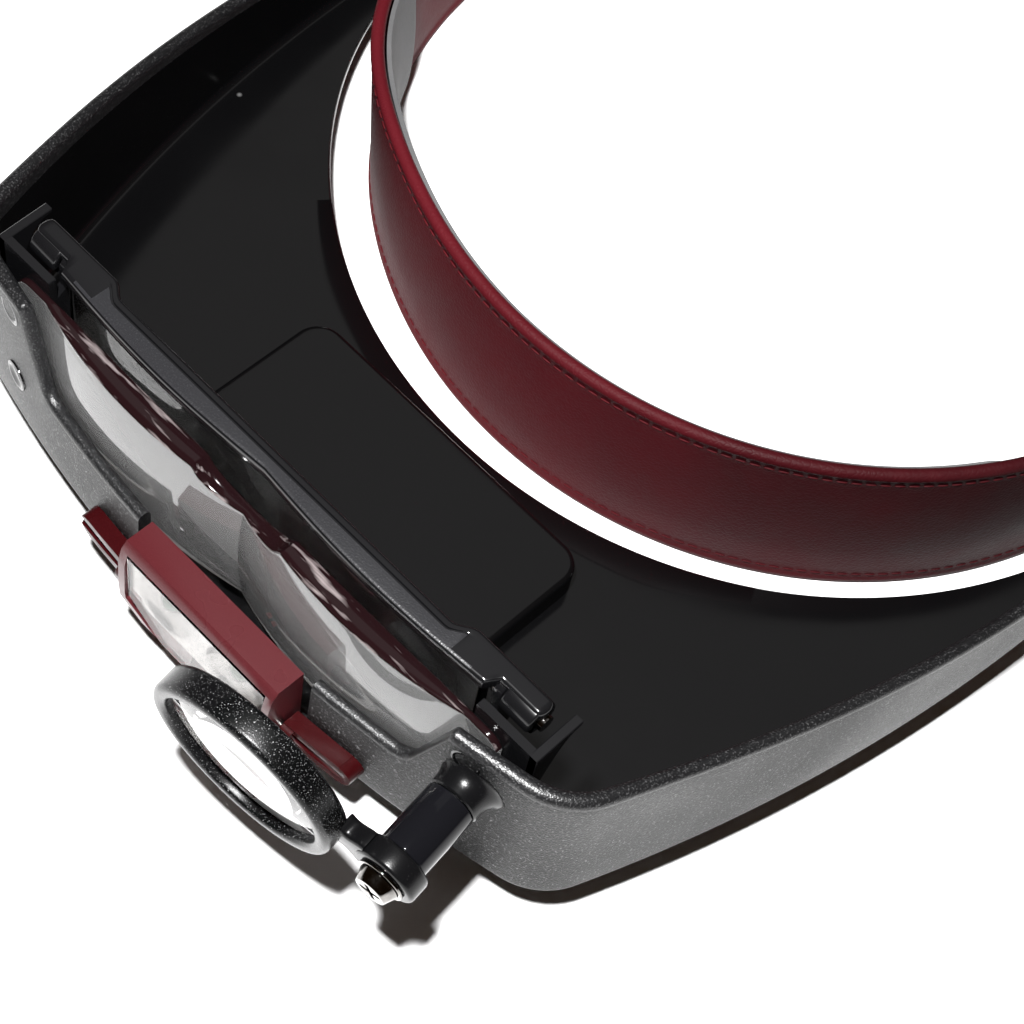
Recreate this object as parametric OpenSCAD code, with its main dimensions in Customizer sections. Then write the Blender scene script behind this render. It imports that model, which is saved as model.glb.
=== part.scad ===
// Lighted headband magnifier, lying crown side down as it is put on a bench.
// X runs to the wearer's side with the loupe, Y runs back to the head, Z points up.
// The origin is the middle of the battery lid's outer face.

/* [Visor] */
// Distance from the band out to the visor's walls at the temples
temple_gap = 9.2; // [7:0.1:11]
// Distance from the origin forward to the front edge
visor_front = 39.5; // [39:0.1:40]
// Distance from the origin back to the ends of the side walls
visor_rear = 103; // [100:1:105]
// Thickness of the flat brim
brim_t = 2.2; // [1.8:0.1:2.6]
// Thickness of the walls
wall_t = 2.4; // [2:0.1:2.6]
// Radius of the rounded crown edge
crown_edge_r = 3.6; // [2.6:0.1:4]
// Radius of the curved side walls
side_r = 315; // [300:5:330]
// Radius of the curved front wall
front_r = 255; // [245:5:265]
// Radius of the front corners
corner_r = 13; // [11:0.5:15]
// Height of the rim above the floor, level with the main lens
rim_h = 43.7; // [42.5:0.1:45]
// Fall of the rim towards the temples, in degrees
rim_tilt = 11; // [10:0.5:12]
// Gap between the band and the edge of the forehead opening
head_gap = 5.7; // [4.7:0.1:6.7]
// Distance from the band's centre forward to the centre of the forehead opening
head_shift = 3.7; // [3:0.1:4.5]

/* [Front window] */
// Height of the lip below the window
lip_h = 27.8; // [26:0.1:29]
// Half width of the window where it meets the lip
window_half = 43; // [41:0.5:44]
// Half width of the window at the rim
window_top_half = 49; // [47:0.5:49.5]
// Radius of the lower corners of the window
window_r = 4; // [3:0.5:6]

/* [Battery compartment] */
// Room for the leads at each end of the compartment
lead_bay = 3.15; // [3.1:0.05:4]
// Width of the compartment
box_w = 31; // [30:0.5:33]
// Corner radius of the compartment
box_r = 5; // [3:0.5:6]
// Height of the compartment, from the lid's face to the top of the pad
box_h = 15; // [14.6:0.1:16]
// Wall of the compartment
box_wall = 2.2; // [2:0.1:2.4]
// Roof of the compartment
box_roof = 1.6; // [1.2:0.1:1.8]
// How far the compartment stands out of the brim's crown face
box_drop = 7.8; // [7.4:0.1:8.2]
// Thickness of the sliding lid
lid_t = 1.8; // [1.6:0.1:2]
// Diameter of a battery cell
cell_d = 10.5; // [10.2:0.1:10.6]
// Length of a battery cell with its nub
cell_l = 44.5; // [44:0.1:45]
// Distance between the middles of the two cells
cell_pitch = 11.4; // [11:0.1:11.8]
// Length that a battery spring is held at
spring_l = 5; // [4.5:0.1:5.5]
// Thickness of the contact plates
contact_t = 0.5; // [0.4:0.1:0.6]

/* [Lenses] */
// Half length of the main lens
lens_half = 54; // [53:0.2:54.2]
// Thickness of the main lens in the middle of an eye
lens_t = 5.6; // [5:0.1:5.7]
// Thickness of the main lens at its ends
lens_edge_t = 1.3; // [1.2:0.1:1.4]
// Radius of the main lens's domed eyes
lens_r = 90; // [86:1:95]
// Height of the main lens's lower edge
lens_low = 16; // [15:0.5:17]
// Height of the main lens's upper edge
lens_top = 44; // [42:0.2:44]
// Depth of the nose notch in both lenses
nose_notch = 3; // [2:0.2:3.4]
// Half length of the inner lens plate
plate_half = 46; // [44:0.5:46.2]
// Thickness of the inner lens plate
plate_t = 2.5; // [2.2:0.1:2.6]
// Half length of the inner lens's bar
bar_half = 56; // [55.8:0.1:57]
// Height of the bar
bar_h = 2.7; // [2.6:0.1:2.8]
// Depth of the bar from front to back
bar_depth = 3.8; // [3.8:0.1:4.6]
// Height of the inner lens's hinge line
hinge_z = 46.5; // [46.4:0.1:47]
// Diameter of the hinge pins
hinge_pin_d = 2.8; // [2.4:0.1:3]

/* [Lamp] */
// Sideways place of the lamp
lamp_x = 4; // [2:0.5:5]
// Width of the lamp
lamp_w = 35; // [33:0.5:36]
// Height of the lamp's top above the floor
lamp_top = 28; // [27:0.5:29]
// Height of the lamp's bottom above the floor
lamp_bottom = 7.6; // [7.4:0.1:8.5]
// Wall of the lamp's housing
lamp_wall = 1.5; // [1.3:0.1:1.6]
// Diameter of a reflector bowl
bowl_d = 12; // [11:0.2:12.4]
// Distance between the two reflector bowls
bowl_pitch = 16; // [15:0.5:17]
// Diameter of a light-emitting diode
led_d = 4; // [3.6:0.1:4.2]
// Diameter of the lamp's pivot pins
lamp_pin_d = 2; // [1.8:0.1:2.2]
// Reach of a lamp bracket's wing beside the lamp
wing_l = 14; // [13:0.5:15]
// Height of a lamp bracket's wing
wing_h = 4.9; // [4.5:0.1:5.2]
// Thickness of a lamp bracket's wing
wing_t = 3; // [2.6:0.1:3.2]

/* [Loupe] */
// Outer diameter of the loupe's ring
ring_d = 34.6; // [33:0.2:36]
// Radial thickness of the ring
ring_wall = 2.6; // [2.4:0.1:3]
// Depth of the ring along its axis
ring_depth = 5.2; // [4.6:0.1:5.6]
// Distance from the hub's axis to the ring's middle
arm_reach = 25.8; // [25:0.2:27]
// Diameter of the glossy sleeve
sleeve_d = 8.5; // [8:0.1:9]
// Length of the glossy sleeve
sleeve_l = 11; // [10:0.5:12]
// Diameter of the hub
hub_d = 11; // [10.4:0.2:11.6]
// Thickness of the hub
hub_t = 4; // [3.6:0.1:4.2]

/* [Headband] */
// Outer radius of the forehead band
band_r = 81.3; // [80.5:0.1:81.5]
// Height of the forehead band
band_h = 35; // [32:0.5:36]
// Thickness of the forehead band
band_t = 2.2; // [1.8:0.1:2.4]
// Distance from the origin back to the centre of the band's front arc
band_y = 109.9; // [109:0.1:111]
// Length of the band's straight sides
band_side = 14; // [12:1:15]
// Thickness of the padded lining
lining_t = 2.4; // [2:0.1:3]
// Height of the rear strap
strap_h = 22; // [18:1:24]
// Thickness of the rear strap
strap_t = 1.6; // [1.2:0.1:1.8]
// Length of the rear strap's straight sides
strap_side = 26; // [22:1:32]
// Distance from the origin back to the temple pivots
pivot_y = 96.5; // [95:0.5:97]
// Height of the temple pivots
pivot_z = 18; // [17:0.5:18.5]
// Diameter of the temple pivot pins
pivot_d = 6; // [5.6:0.1:6.4]
// Diameter of the temple ears
ear_d = 17; // [16:0.5:18]

/* [Hidden] */
$fn = 64;

// Clearances: running fit, free gap between fixed pieces, gap beside moving pieces
fit = 0.05;
seat = 0.1;
gap = 0.3;
// Reach of a cut past the faces that it opens
past = 1;
// Size of a block that clears away everything on one side of a cut
far = 300;

black = [0.07, 0.07, 0.08];
maroon = [0.42, 0.08, 0.10];
clear = [0.85, 0.90, 0.93, 0.4];
silver = [0.78, 0.79, 0.80];

brim_top = box_drop + brim_t;
visor_w = 2 * (band_r + temple_gap);
head_cut_r = band_r + head_gap;
head_cut_y = band_y - head_shift;
front_cy = front_r - visor_front;
side_cx = side_r - visor_w / 2;
side_cy = 88;
rim_y = -29.5;

// Where the corner arcs are centred: on both offset arcs at once
corner_far = side_r - corner_r;
corner_near = front_r - corner_r;
centre_gap = norm([side_cx, front_cy - side_cy]);
centre_unit = [side_cx, front_cy - side_cy] / centre_gap;
corner_along = (corner_far ^ 2 - corner_near ^ 2 + centre_gap ^ 2) / (2 * centre_gap);
corner_across = sqrt(corner_far ^ 2 - corner_along ^ 2);
corner_x = -side_cx + corner_along * centre_unit.x + corner_across * centre_unit.y;
corner_y = side_cy + corner_along * centre_unit.y - corner_across * centre_unit.x;

cell_z = lid_t + 0.2 + gap + cell_d / 2;
rib_t = 1.8;
bay_half = (cell_l + spring_l + 2 * contact_t + 2 * seat) / 2;
box_l = 2 * (bay_half + rib_t + lead_bay + box_wall);
bay_w = box_w - 4 * box_wall + 4.4;
groove_d = 1.2;

lens_rear = 9.9 - visor_front;
lens_front = lens_rear - lens_edge_t;
eye_x = 23;
eye_z = 30;
bracket_t = 2.2;
bracket_front = lens_rear + seat / 2;
bracket_top = 41.5;
hinge_y = 15.3 - visor_front;
bar_low = hinge_z + 0.5;
bar_front = hinge_y - 3.6;
plate_low = 17;
plate_front = hinge_y - 3;
lug_x = 47.6;
lug_t = 1.6;
hook_x = lug_x + lug_t + gap;
hook_l = 6;
hook_r = 3;
lug_d = 4.4;
screw_x = 51.5;
screw_zs = [22, 35];
screw_reach = 32.6;

lamp_half = lamp_w / 2;
lamp_axis = [-1.9 - visor_front, 14.75];
lamp_rear = 1.7 - visor_front;
lamp_slope_z = 12.9;
lamp_slope_x = 8;
lip_gap_half = lamp_half + 2;
lip_gap_z = 12;
bowl_z = 20.2;
lamp_face = -4.9 - visor_front;
lamp_window_t = 1;
board_t = 1;
board_y = lamp_rear - lamp_wall - seat / 2 - board_t;
ear_t = 2.2;
wing_low = 12.3;

loupe_root = [52.5, 5.5 - visor_front, 33.8];
loupe_pitch = 6.5;
loupe_yaw = 5.5;
arm_turn = 4;
boss_d = 10.8;
boss_l = 3.6;
spigot_d = 4;
loupe_pin_d = 3;
hub_z = boss_l + sleeve_l + 2 * seat;
ring_z = hub_z + 1.3;

pivot_x = visor_w / 2;
ear_t_side = 3;
strap_x = band_r - band_t - seat / 2;
strap_z = band_h / 2 - strap_h / 2;
strap_start = band_y + 2;
strap_cy = strap_start + strap_side;

lead_d = 1.1;
lead_z = brim_top + lead_d / 2 + 0.2;
lead_gap = 1.8;

// Points along an arc from angle a to angle b, in n steps
function arc(c, r, a, b, n) = [for (i = [0:n]) c + r * [cos(a + (b - a) * i / n), sin(a + (b - a) * i / n)]];
// The same points seen in a mirror across the middle plane, in reverse order
function mirrored(p) = [for (i = [len(p) - 1:-1:0]) [-p[i].x, p[i].y]];
// Half of the visor's plan from the middle of the front to the end of a side wall, moved in by e
function visor_half(e, rear) =
    let (a_front = atan2(corner_y - front_cy, corner_x),
         a_side = atan2(corner_y - side_cy, corner_x + side_cx),
         a_rear = asin((rear - side_cy) / (side_r - e)))
    concat(arc([0, front_cy], front_r - e, -90, a_front, 7),
           arc([corner_x, corner_y], corner_r - e, a_front, a_side, 8),
           arc([-side_cx, side_cy], side_r - e, a_side, a_rear, 9));
// The whole plan, without the doubled points where arcs meet
function visor_plan(e, rear) =
    let (h = visor_half(e, rear), one = [for (i = [1:len(h) - 1]) if (norm(h[i] - h[i - 1]) > 0.01) h[i]])
    concat(mirrored(one), [h[0]], one);
function at_height(p, z) = [for (q = p) [q.x, q.y, z]];
// Outline of the lamp's front, moved in by t
function lamp_outline(t) =
    let (half = lamp_half - t,
         dir = [lamp_half - lamp_slope_x, lamp_slope_z - lamp_bottom],
         n = [dir.y, -dir.x] / norm(dir),
         c = n * [lamp_half, lamp_slope_z] - t,
         low = lamp_bottom + t,
         z_side = (c - n.x * half) / n.y,
         x_low = (c - n.y * low) / n.x)
    [[-half, lamp_top - t], [half, lamp_top - t], [half, z_side], [x_low, low], [-x_low, low], [-half, z_side]];
// Frames for a tube: each ring's first direction, carried along the path
function along(p, i) = let (v = p[min(i + 1, len(p) - 1)] - p[max(i - 1, 0)]) v / norm(v);
function carried(p, acc, i) =
    i >= len(p) ? acc
    : let (t = along(p, i), v = acc[i - 1] - t * (acc[i - 1] * t)) carried(p, concat(acc, [v / norm(v)]), i + 1);
// A path whose corners are rounded by short curves that start r before each corner
function soft_corners(p, r) =
    concat([p[0]],
           [for (i = [1:len(p) - 2], k = [0:4])
               let (a = p[i] + r * (p[i - 1] - p[i]) / norm(p[i - 1] - p[i]),
                    b = p[i] + r * (p[i + 1] - p[i]) / norm(p[i + 1] - p[i]),
                    s = k / 4)
               (1 - s) ^ 2 * a + 2 * s * (1 - s) * p[i] + s ^ 2 * b],
           [p[len(p) - 1]]);

// A closed skin through equal rings of points, each ring counter-clockwise seen from above
module loft(rings) {
    n = len(rings[0]);
    m = len(rings);
    pts = [for (r = rings, q = r) q];
    sides = [for (j = [0:m - 2], i = [0:n - 1], half = [0, 1])
        let (a = j * n + i, b = j * n + (i + 1) % n)
        half == 0 ? [a, a + n, b + n] : [a, b + n, b]];
    polyhedron(points = pts, faces = concat([[for (i = [0:n - 1]) i]], sides,
                                            [[for (i = [n - 1:-1:0]) (m - 1) * n + i]]));
}

// A round tube along a path
module tube(path, d, start, n) {
    normals = carried(path, [start], 1);
    loft([for (i = [0:len(path) - 1])
        let (t = along(path, i), u = normals[i], v = cross(t, u))
        [for (k = [0:n - 1]) path[i] + d / 2 * (cos(360 * k / n) * u + sin(360 * k / n) * v)]]);
}

// A cylinder along X, from x1 to x2
module rod_x(x1, x2, y, z, d) {
    translate([x1, y, z]) rotate([0, 90, 0]) cylinder(d = d, h = x2 - x1);
}

// A profile given in Y and Z, drawn out along X
module across(x1, x2, points) {
    translate([x1, 0, 0]) rotate([90, 0, 90]) linear_extrude(x2 - x1) polygon(points);
}

// A profile given in X and Z, drawn out along Y
module forward(y1, y2, points) {
    translate([0, y2, 0]) rotate([90, 0, 0]) linear_extrude(y2 - y1) polygon(points);
}

// A flat box with round upright corners
module rounded_box(l, w, r, z1, z2) {
    translate([0, 0, z1]) linear_extrude(z2 - z1) union() {
        square([l - 2 * r, w], center = true);
        square([l, w - 2 * r], center = true);
        for (x = [-1, 1], y = [-1, 1]) translate([x * (l / 2 - r), y * (w / 2 - r)]) circle(r);
    }
}

module both_sides() {
    children();
    mirror([1, 0, 0]) children();
}

// Places its children with their Z along the loupe's axis, from the corner post outwards
module at_loupe(z) {
    translate(loupe_root) rotate([90 + loupe_pitch, 0, loupe_yaw]) translate([0, 0, z]) children();
}

// Places its children with their Z along the front wall's radius, at a given x
module at_front_wall(x, r, z) {
    translate([0, front_cy, z]) rotate([90, 0, asin(x / front_r)]) translate([0, 0, r]) children();
}

// Visor

module visor_skin() {
    tub_r = 1.5;
    difference() {
        loft(concat(
            [for (a = [0:30:90])
                at_height(visor_plan(crown_edge_r * (1 - sin(a)), visor_rear),
                          box_drop + crown_edge_r * (1 - cos(a)))],
            [at_height(visor_plan(0, visor_rear), rim_h + 10)]));
        loft(concat(
            [for (a = [0:45:90])
                at_height(visor_plan(wall_t + tub_r * (1 - sin(a)), visor_rear + past),
                          brim_top + tub_r * (1 - cos(a)))],
            [at_height(visor_plan(wall_t, visor_rear + past), rim_h + 12)]));
        translate([0, head_cut_y, -past]) cylinder(r = head_cut_r, h = far, $fn = 128);
        translate([0, rim_y, rim_h]) rotate([-rim_tilt, 0, 0])
            translate([-far / 2, -far / 2, 0]) cube(far);
        window_cut();
        translate([lamp_x - lip_gap_half, -visor_front - past, lip_gap_z])
            cube([2 * lip_gap_half, 2 * wall_t + 2 * past, far]);
    }
}

module window_cut() {
    lean = atan2(rim_h - lip_h, window_top_half - window_half);
    forward(-visor_front - past, rim_y, concat(
        arc([window_half - window_r, lip_h + window_r], window_r, -90, lean - 90, 6),
        [[window_top_half + 1, rim_h + 10], [-window_top_half - 1, rim_h + 10]],
        mirrored(arc([window_half - window_r, lip_h + window_r], window_r, -90, lean - 90, 6))));
}

module temple_ear() {
    rod_x(pivot_x - ear_t_side - 0.1, pivot_x - 0.1, pivot_y, pivot_z, ear_d);
}

module battery_walls() {
    rounded_box(box_l, box_w, box_r, 0, box_h);
}

module battery_room() {
    lid_room = box_w - 2 * box_wall;
    end = box_l / 2;
    // Room for the cells, between the two ribs that carry the contacts
    translate([-bay_half, -bay_w / 2, -past]) cube([2 * bay_half, bay_w, box_h - box_roof + past]);
    // Wire bays behind the ribs
    both_sides() translate([bay_half + rib_t, -bay_w / 2, -past])
        cube([end - box_wall - bay_half - rib_t, bay_w, box_h - box_roof + past]);
    // Seat of the lid, open towards the loupe's side
    translate([-end + box_wall, -lid_room / 2, -past]) cube([box_l, lid_room, lid_t + 0.2 + past]);
    translate([-end + box_wall, -lid_room / 2 - groove_d, 0.7]) cube([box_l, lid_room + 2 * groove_d, lid_t - 0.5]);
    // Slots for the tabs of the contacts
    for (y = [-1, 1]) translate([0, y * cell_pitch / 2 - 1.7, cell_z - 0.5]) cube([bay_half + 2 * rib_t, 3.4, 1]);
    // Way out for the leads, and the tops of the ribs cut back for them
    for (s = [-1, 1]) translate([lamp_x + s * lead_gap / 2, -bay_w / 2 + past, lead_z]) rotate([90, 0, 0])
        cylinder(d = lead_d + 0.4, h = box_w);
    translate([0, -bay_w / 2, lead_z - lead_d]) cube([bay_half + 2 * rib_t, 2.6, box_h - box_roof - lead_z + lead_d]);
}

module switch_bezel() {
    translate([lamp_x - 6.2, -28.2, box_drop - 2]) cube([12.4, 8.4, 3]);
}

module visor_shell() {
    color(black) difference() {
        union() {
            visor_skin();
            both_sides() temple_ear();
            battery_walls();
            switch_bezel();
            at_loupe(-1.6) cylinder(d = boss_d, h = boss_l + 1.6);
        }
        battery_room();
        both_sides() rod_x(pivot_x - 10, pivot_x + 10, pivot_y, pivot_z, pivot_d + 2 * fit);
        translate([lamp_x - 4.6, -26.6, 0]) cube([9.2, 5.2, far]);
        at_loupe(-0.5) cylinder(d = spigot_d + 2 * fit, h = far);
        for (s = [-1, 1]) at_front_wall(lamp_x + s * (lamp_half + 8.5), front_r - 6, lamp_axis[1])
            cylinder(d = 2.1, h = 12);
        both_sides() for (z = screw_zs) translate([screw_x, 0, z]) rotate([90, 0, 0]) cylinder(d = 1.9, h = screw_reach + 0.6);
        for (s = [-1, 1]) translate([lamp_x + s * lead_gap / 2, -30, lead_z]) rotate([90, 0, 0])
            cylinder(d = lead_d + 0.4, h = 12);
    }
}

// Battery

module battery_cell() {
    body = cell_l - 1;
    rotate([0, 90, 0]) {
        translate([0, 0, -body / 2]) cylinder(d = cell_d, h = body);
        translate([0, 0, body / 2 - 0.1]) cylinder(d = 3.8, h = 1.1);
    }
}

module battery_cells() {
    shift = bay_half - contact_t - seat - 1 - (cell_l - 1) / 2;
    color("silver") for (s = [0, 180]) rotate([0, 0, s]) translate([shift, cell_pitch / 2, cell_z]) battery_cell();
}

// A cone-shaped coil that presses on a cell's flat end, with closed first and last turns
module battery_spring() {
    turns = 3.5;
    wire = 0.6;
    steps = 28;
    rise = spring_l - wire;
    path = [for (i = [0:steps])
        let (s = i / steps, r = 3.6 - 1.6 * s, a = 360 * turns * s) [r * cos(a), r * sin(a), wire / 2 + rise * s]];
    tube(path, wire, [1, 0, 0], 6);
}

module battery_springs() {
    color("silver") for (s = [0, 180]) rotate([0, 0, s])
        translate([-bay_half + contact_t + seat / 2, cell_pitch / 2, cell_z]) rotate([0, 90, 0]) battery_spring();
}

module battery_contacts() {
    h = 8;
    color("goldenrod") {
        translate([-bay_half, -cell_pitch / 2 - 4, cell_z - h / 2]) cube([contact_t, cell_pitch + 8, h]);
        for (y = [-1, 1]) translate([bay_half - contact_t, y * cell_pitch / 2, cell_z]) {
            translate([0, -4, -h / 2]) cube([contact_t, 8, h]);
            translate([0, -1.4, -0.25]) cube([contact_t + rib_t + 0.6, 2.8, 0.5]);
        }
    }
}

module battery_lid() {
    w = box_w - 2 * box_wall - 2 * gap;
    start = -box_l / 2 + box_wall + gap;
    color(black) difference() {
        intersection() {
            union() {
                translate([start, -w / 2, 0]) cube([box_l, w, lid_t]);
                translate([start, -w / 2 - groove_d + 0.1, 0.95]) cube([box_l, w + 2 * groove_d - 0.2, lid_t - 0.95]);
            }
            rounded_box(box_l, box_w, box_r, -past, lid_t);
        }
        for (i = [0:3]) translate([box_l / 2 - 14 + 2.5 * i, -7, -past]) cube([1, 14, past + 0.5]);
    }
}

// Switch

module switch_body() {
    color("dimgray") difference() {
        translate([lamp_x - 4.5, -26.5, box_drop - 1.4]) cube([9, 5, brim_top - box_drop + 1.4]);
        translate([lamp_x - 3.4, -25.3, box_drop - past - 1.4]) cube([6.8, 2.6, past + 1.8]);
    }
}

module switch_slider() {
    color("white") translate([lamp_x - 3.2, -25, 0]) {
        translate([0, 0, box_drop - 1]) cube([3.4, 2, 1.2]);
        translate([0.6, 0, 3.8]) cube([2.2, 2, box_drop - 3.8]);
    }
}

module wire_cover() {
    h = 2.2;
    w = 7;
    y1 = -35.2;
    y2 = -box_w / 2 - seat;
    low = brim_top + seat / 2;
    color(black) difference() {
        translate([lamp_x - w / 2, y1, low]) cube([w, y2 - y1, h]);
        translate([lamp_x - w / 2 + 0.8, y1 - past, low - past]) cube([w - 1.6, y2 - y1 + 2 * past, h - 0.7 + past]);
    }
}

// Two leads from the contacts to the back of the lamp
module lead_wires() {
    y_in = -bay_w / 2 + 1.2;
    x_bay = bay_half + rib_t + 1.3;
    far_x = lamp_x + lead_gap / 2;
    near_x = lamp_x - lead_gap / 2;
    y_end = -visor_front + 0.3;
    y_tab = cell_pitch / 2;
    high = lead_z + 1.4;
    first = soft_corners([[x_bay + 1.2, y_tab, cell_z], [x_bay + 1.2, y_tab, lead_z], [x_bay + 1.2, y_in, lead_z],
                          [far_x, y_in, lead_z], [far_x, y_end, lead_z]], 0.9);
    second = soft_corners([[x_bay, -y_tab, cell_z + 0.9], [x_bay, -y_tab, high], [x_bay, y_in, high],
                           [near_x, y_in, high], [near_x, y_in - 0.9, lead_z], [near_x, y_end, lead_z]], 0.5);
    color("firebrick") tube(first, lead_d, [1, 0, 0], 8);
    color("dimgray") tube(second, lead_d, [1, 0, 0], 8);
}

// Main lens

// Outline of a lens with a nose notch in its free edge, between two heights
function lens_face(half, low, top, notch, r) =
    concat([[-half, low], [half, low]],
           arc([half - r, top - r], r, 0, 90, 5),
           [[half * 0.45, top]],
           [for (i = [0:10]) [notch * 3.2 * cos(18 * i), top - notch * sin(18 * i)]],
           [[-half * 0.45, top]],
           arc([-half + r, top - r], r, 90, 180, 5));

module main_lens() {
    color(clear) difference() {
        intersection() {
            forward(lens_rear - lens_t, lens_rear, lens_face(lens_half, lens_low, lens_top, nose_notch, 3));
            union() {
                translate([-lens_half, lens_front, lens_low]) cube([2 * lens_half, lens_edge_t, lens_top - lens_low]);
                for (s = [-1, 1]) translate([s * eye_x, lens_rear - lens_t + lens_r, eye_z]) sphere(r = lens_r, $fn = 128);
            }
        }
        both_sides() for (z = screw_zs) translate([screw_x, 0, z]) rotate([90, 0, 0]) cylinder(d = 2.4, h = 50);
    }
}

module lens_screws() {
    head_y = bracket_front + bracket_t + seat / 2;
    color(silver) both_sides() for (z = screw_zs) translate([screw_x, head_y, z]) rotate([90, 0, 0]) {
        cylinder(d = 1.8, h = screw_reach + head_y);
        translate([0, 0, -1.3]) difference() {
            cylinder(d = 3.8, h = 1.3);
            for (a = [0, 90]) rotate([0, 0, a]) translate([-1.2, -0.25, -past]) cube([2.4, 0.5, past + 0.6]);
        }
    }
}

module lens_bracket() {
    blade_y = 21.7 - visor_front;
    apex_x = 59.9;
    rear = bracket_front + bracket_t;
    difference() {
        union() {
            // Strip against the back of the main lens
            translate([lug_x, bracket_front, lens_low]) cube([apex_x - lug_x, bracket_t, bracket_top - lens_low]);
            // Blade towards the head, thinned to a point
            intersection() {
                across(apex_x - bracket_t, apex_x, [[bracket_front, 22], [rear + 1, 22], [blade_y, bracket_top - 0.5],
                                                    [blade_y, bracket_top + 1], [rear, bracket_top], [bracket_front, bracket_top]]);
                linear_extrude(far) polygon([[apex_x - bracket_t, bracket_front], [apex_x, bracket_front],
                                             [apex_x, blade_y], [apex_x - bracket_t, rear]]);
            }
            // Lug with the seat of the hinge pin
            across(lug_x, lug_x + lug_t, [[rear - 1, 30], [rear, 30], [hinge_y + lug_d / 2, 36], [hinge_y + lug_d / 2, hinge_z],
                                          [hinge_y - 0.8, hinge_z], [hinge_y - 0.8, bracket_top], [rear - 1, bracket_top]]);
            rod_x(lug_x, lug_x + lug_t, hinge_y, hinge_z, lug_d);
        }
        rod_x(lug_x - past, lug_x + lug_t + past, hinge_y, hinge_z, hinge_pin_d + 2 * fit);
        for (z = screw_zs) translate([screw_x, 0, z]) rotate([90, 0, 0]) cylinder(d = 2.2, h = 50);
    }
}

module lens_bracket_right() {
    color(black) lens_bracket();
}

module lens_bracket_left() {
    color(black) mirror([1, 0, 0]) lens_bracket();
}

module bracket_pins() {
    color(silver) both_sides() {
        rod_x(lug_x - 0.6, hook_x + hook_l + 1, hinge_y, hinge_z, hinge_pin_d);
        rod_x(lug_x - 0.6, lug_x - seat / 2, hinge_y, hinge_z, hinge_pin_d + 1.2);
    }
}

// Inner lens

// Plan of the bar: straight back, two shallow lobes in front, ears at both ends
function bar_plan() =
    let (front = bar_front, rear = bar_front + bar_depth, ear_l = 15.5, lobe = 1.2)
    concat([for (i = [-12:12]) [i / 12 * (bar_half - 10), front - lobe * abs(sin(15 * i))]],
           [[bar_half - 1, front], [bar_half, front + 1], [bar_half, rear + 1], [bar_half - 1, rear + 2],
            [bar_half - ear_l, rear + 2], [bar_half - ear_l - 4, rear]],
           [[-bar_half + ear_l + 4, rear], [-bar_half + ear_l, rear + 2],
            [-bar_half + 1, rear + 2], [-bar_half, rear + 1], [-bar_half, front + 1], [-bar_half + 1, front]]);

module inner_lens_frame() {
    groove = 1.3;
    color(black) difference() {
        union() {
            translate([0, 0, bar_low]) linear_extrude(bar_h) polygon(bar_plan());
            both_sides() rod_x(hook_x, hook_x + hook_l, hinge_y, hinge_z, 2 * hook_r);
        }
        // Bores of the hooks, open towards the front so that they snap on
        both_sides() rod_x(hook_x - past, hook_x + hook_l + past, hinge_y, hinge_z, hinge_pin_d + 2 * fit);
        both_sides() translate([hook_x - past, hinge_y - 4, hinge_z - 0.9 - 1.4]) cube([hook_l + 2 * past, 4, 1.8]);
        // Room for the lugs of the brackets
        both_sides() rod_x(lug_x - 1.2, hook_x, hinge_y, hinge_z, lug_d + 2 * gap);
        // Slot for the lens plate
        translate([-plate_half - seat, plate_front - seat, bar_low - past])
            cube([2 * plate_half + 2 * seat, plate_t + 2 * seat, past + 1.5]);
        // Groove along the back of the top face
        translate([-bar_half + 16, bar_front + bar_depth - groove - 0.5, bar_low + bar_h - 0.4])
            cube([2 * bar_half - 32, 0.5, 0.4 + past]);
    }
}

module inner_lens_plate() {
    color(clear) forward(plate_front, plate_front + plate_t,
        concat(arc([-plate_half + 4, plate_low + 4], 4, 180, 270, 5),
               [for (i = [10:-1:0]) [nose_notch * 3.2 * cos(18 * i), plate_low + nose_notch * sin(18 * i)]],
               arc([plate_half - 4, plate_low + 4], 4, 270, 360, 5),
               [[plate_half, bar_low + 1.4], [-plate_half, bar_low + 1.4]]));
}

// Lamp

// Side view of the lamp's housing
function lamp_side() =
    [[lamp_rear, lamp_top], [lamp_rear, 14.6], [-40.2, 13], [-42, lamp_bottom], [lamp_face + 0.9, lamp_bottom],
     [lamp_face - 0.1, lamp_bottom + 2.5], [lamp_face - 0.5, 16], [lamp_face - 0.4, 23.5], [lamp_face + 0.3, 26.6],
     [lamp_face + 1.5, lamp_top]];
// Side view of the room inside it, open at the front
function lamp_room() =
    [[lamp_rear - lamp_wall, lamp_top - lamp_wall], [lamp_rear - lamp_wall, 15.4], [-40.8, 13.6], [-42, 12.6],
     [-43, lamp_bottom + lamp_wall], [-60, lamp_bottom + lamp_wall], [-60, lamp_top - lamp_wall]];

module lamp_front(y1, y2, t) {
    translate([lamp_x, 0, 0]) forward(y1, y2, lamp_outline(t));
}

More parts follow.
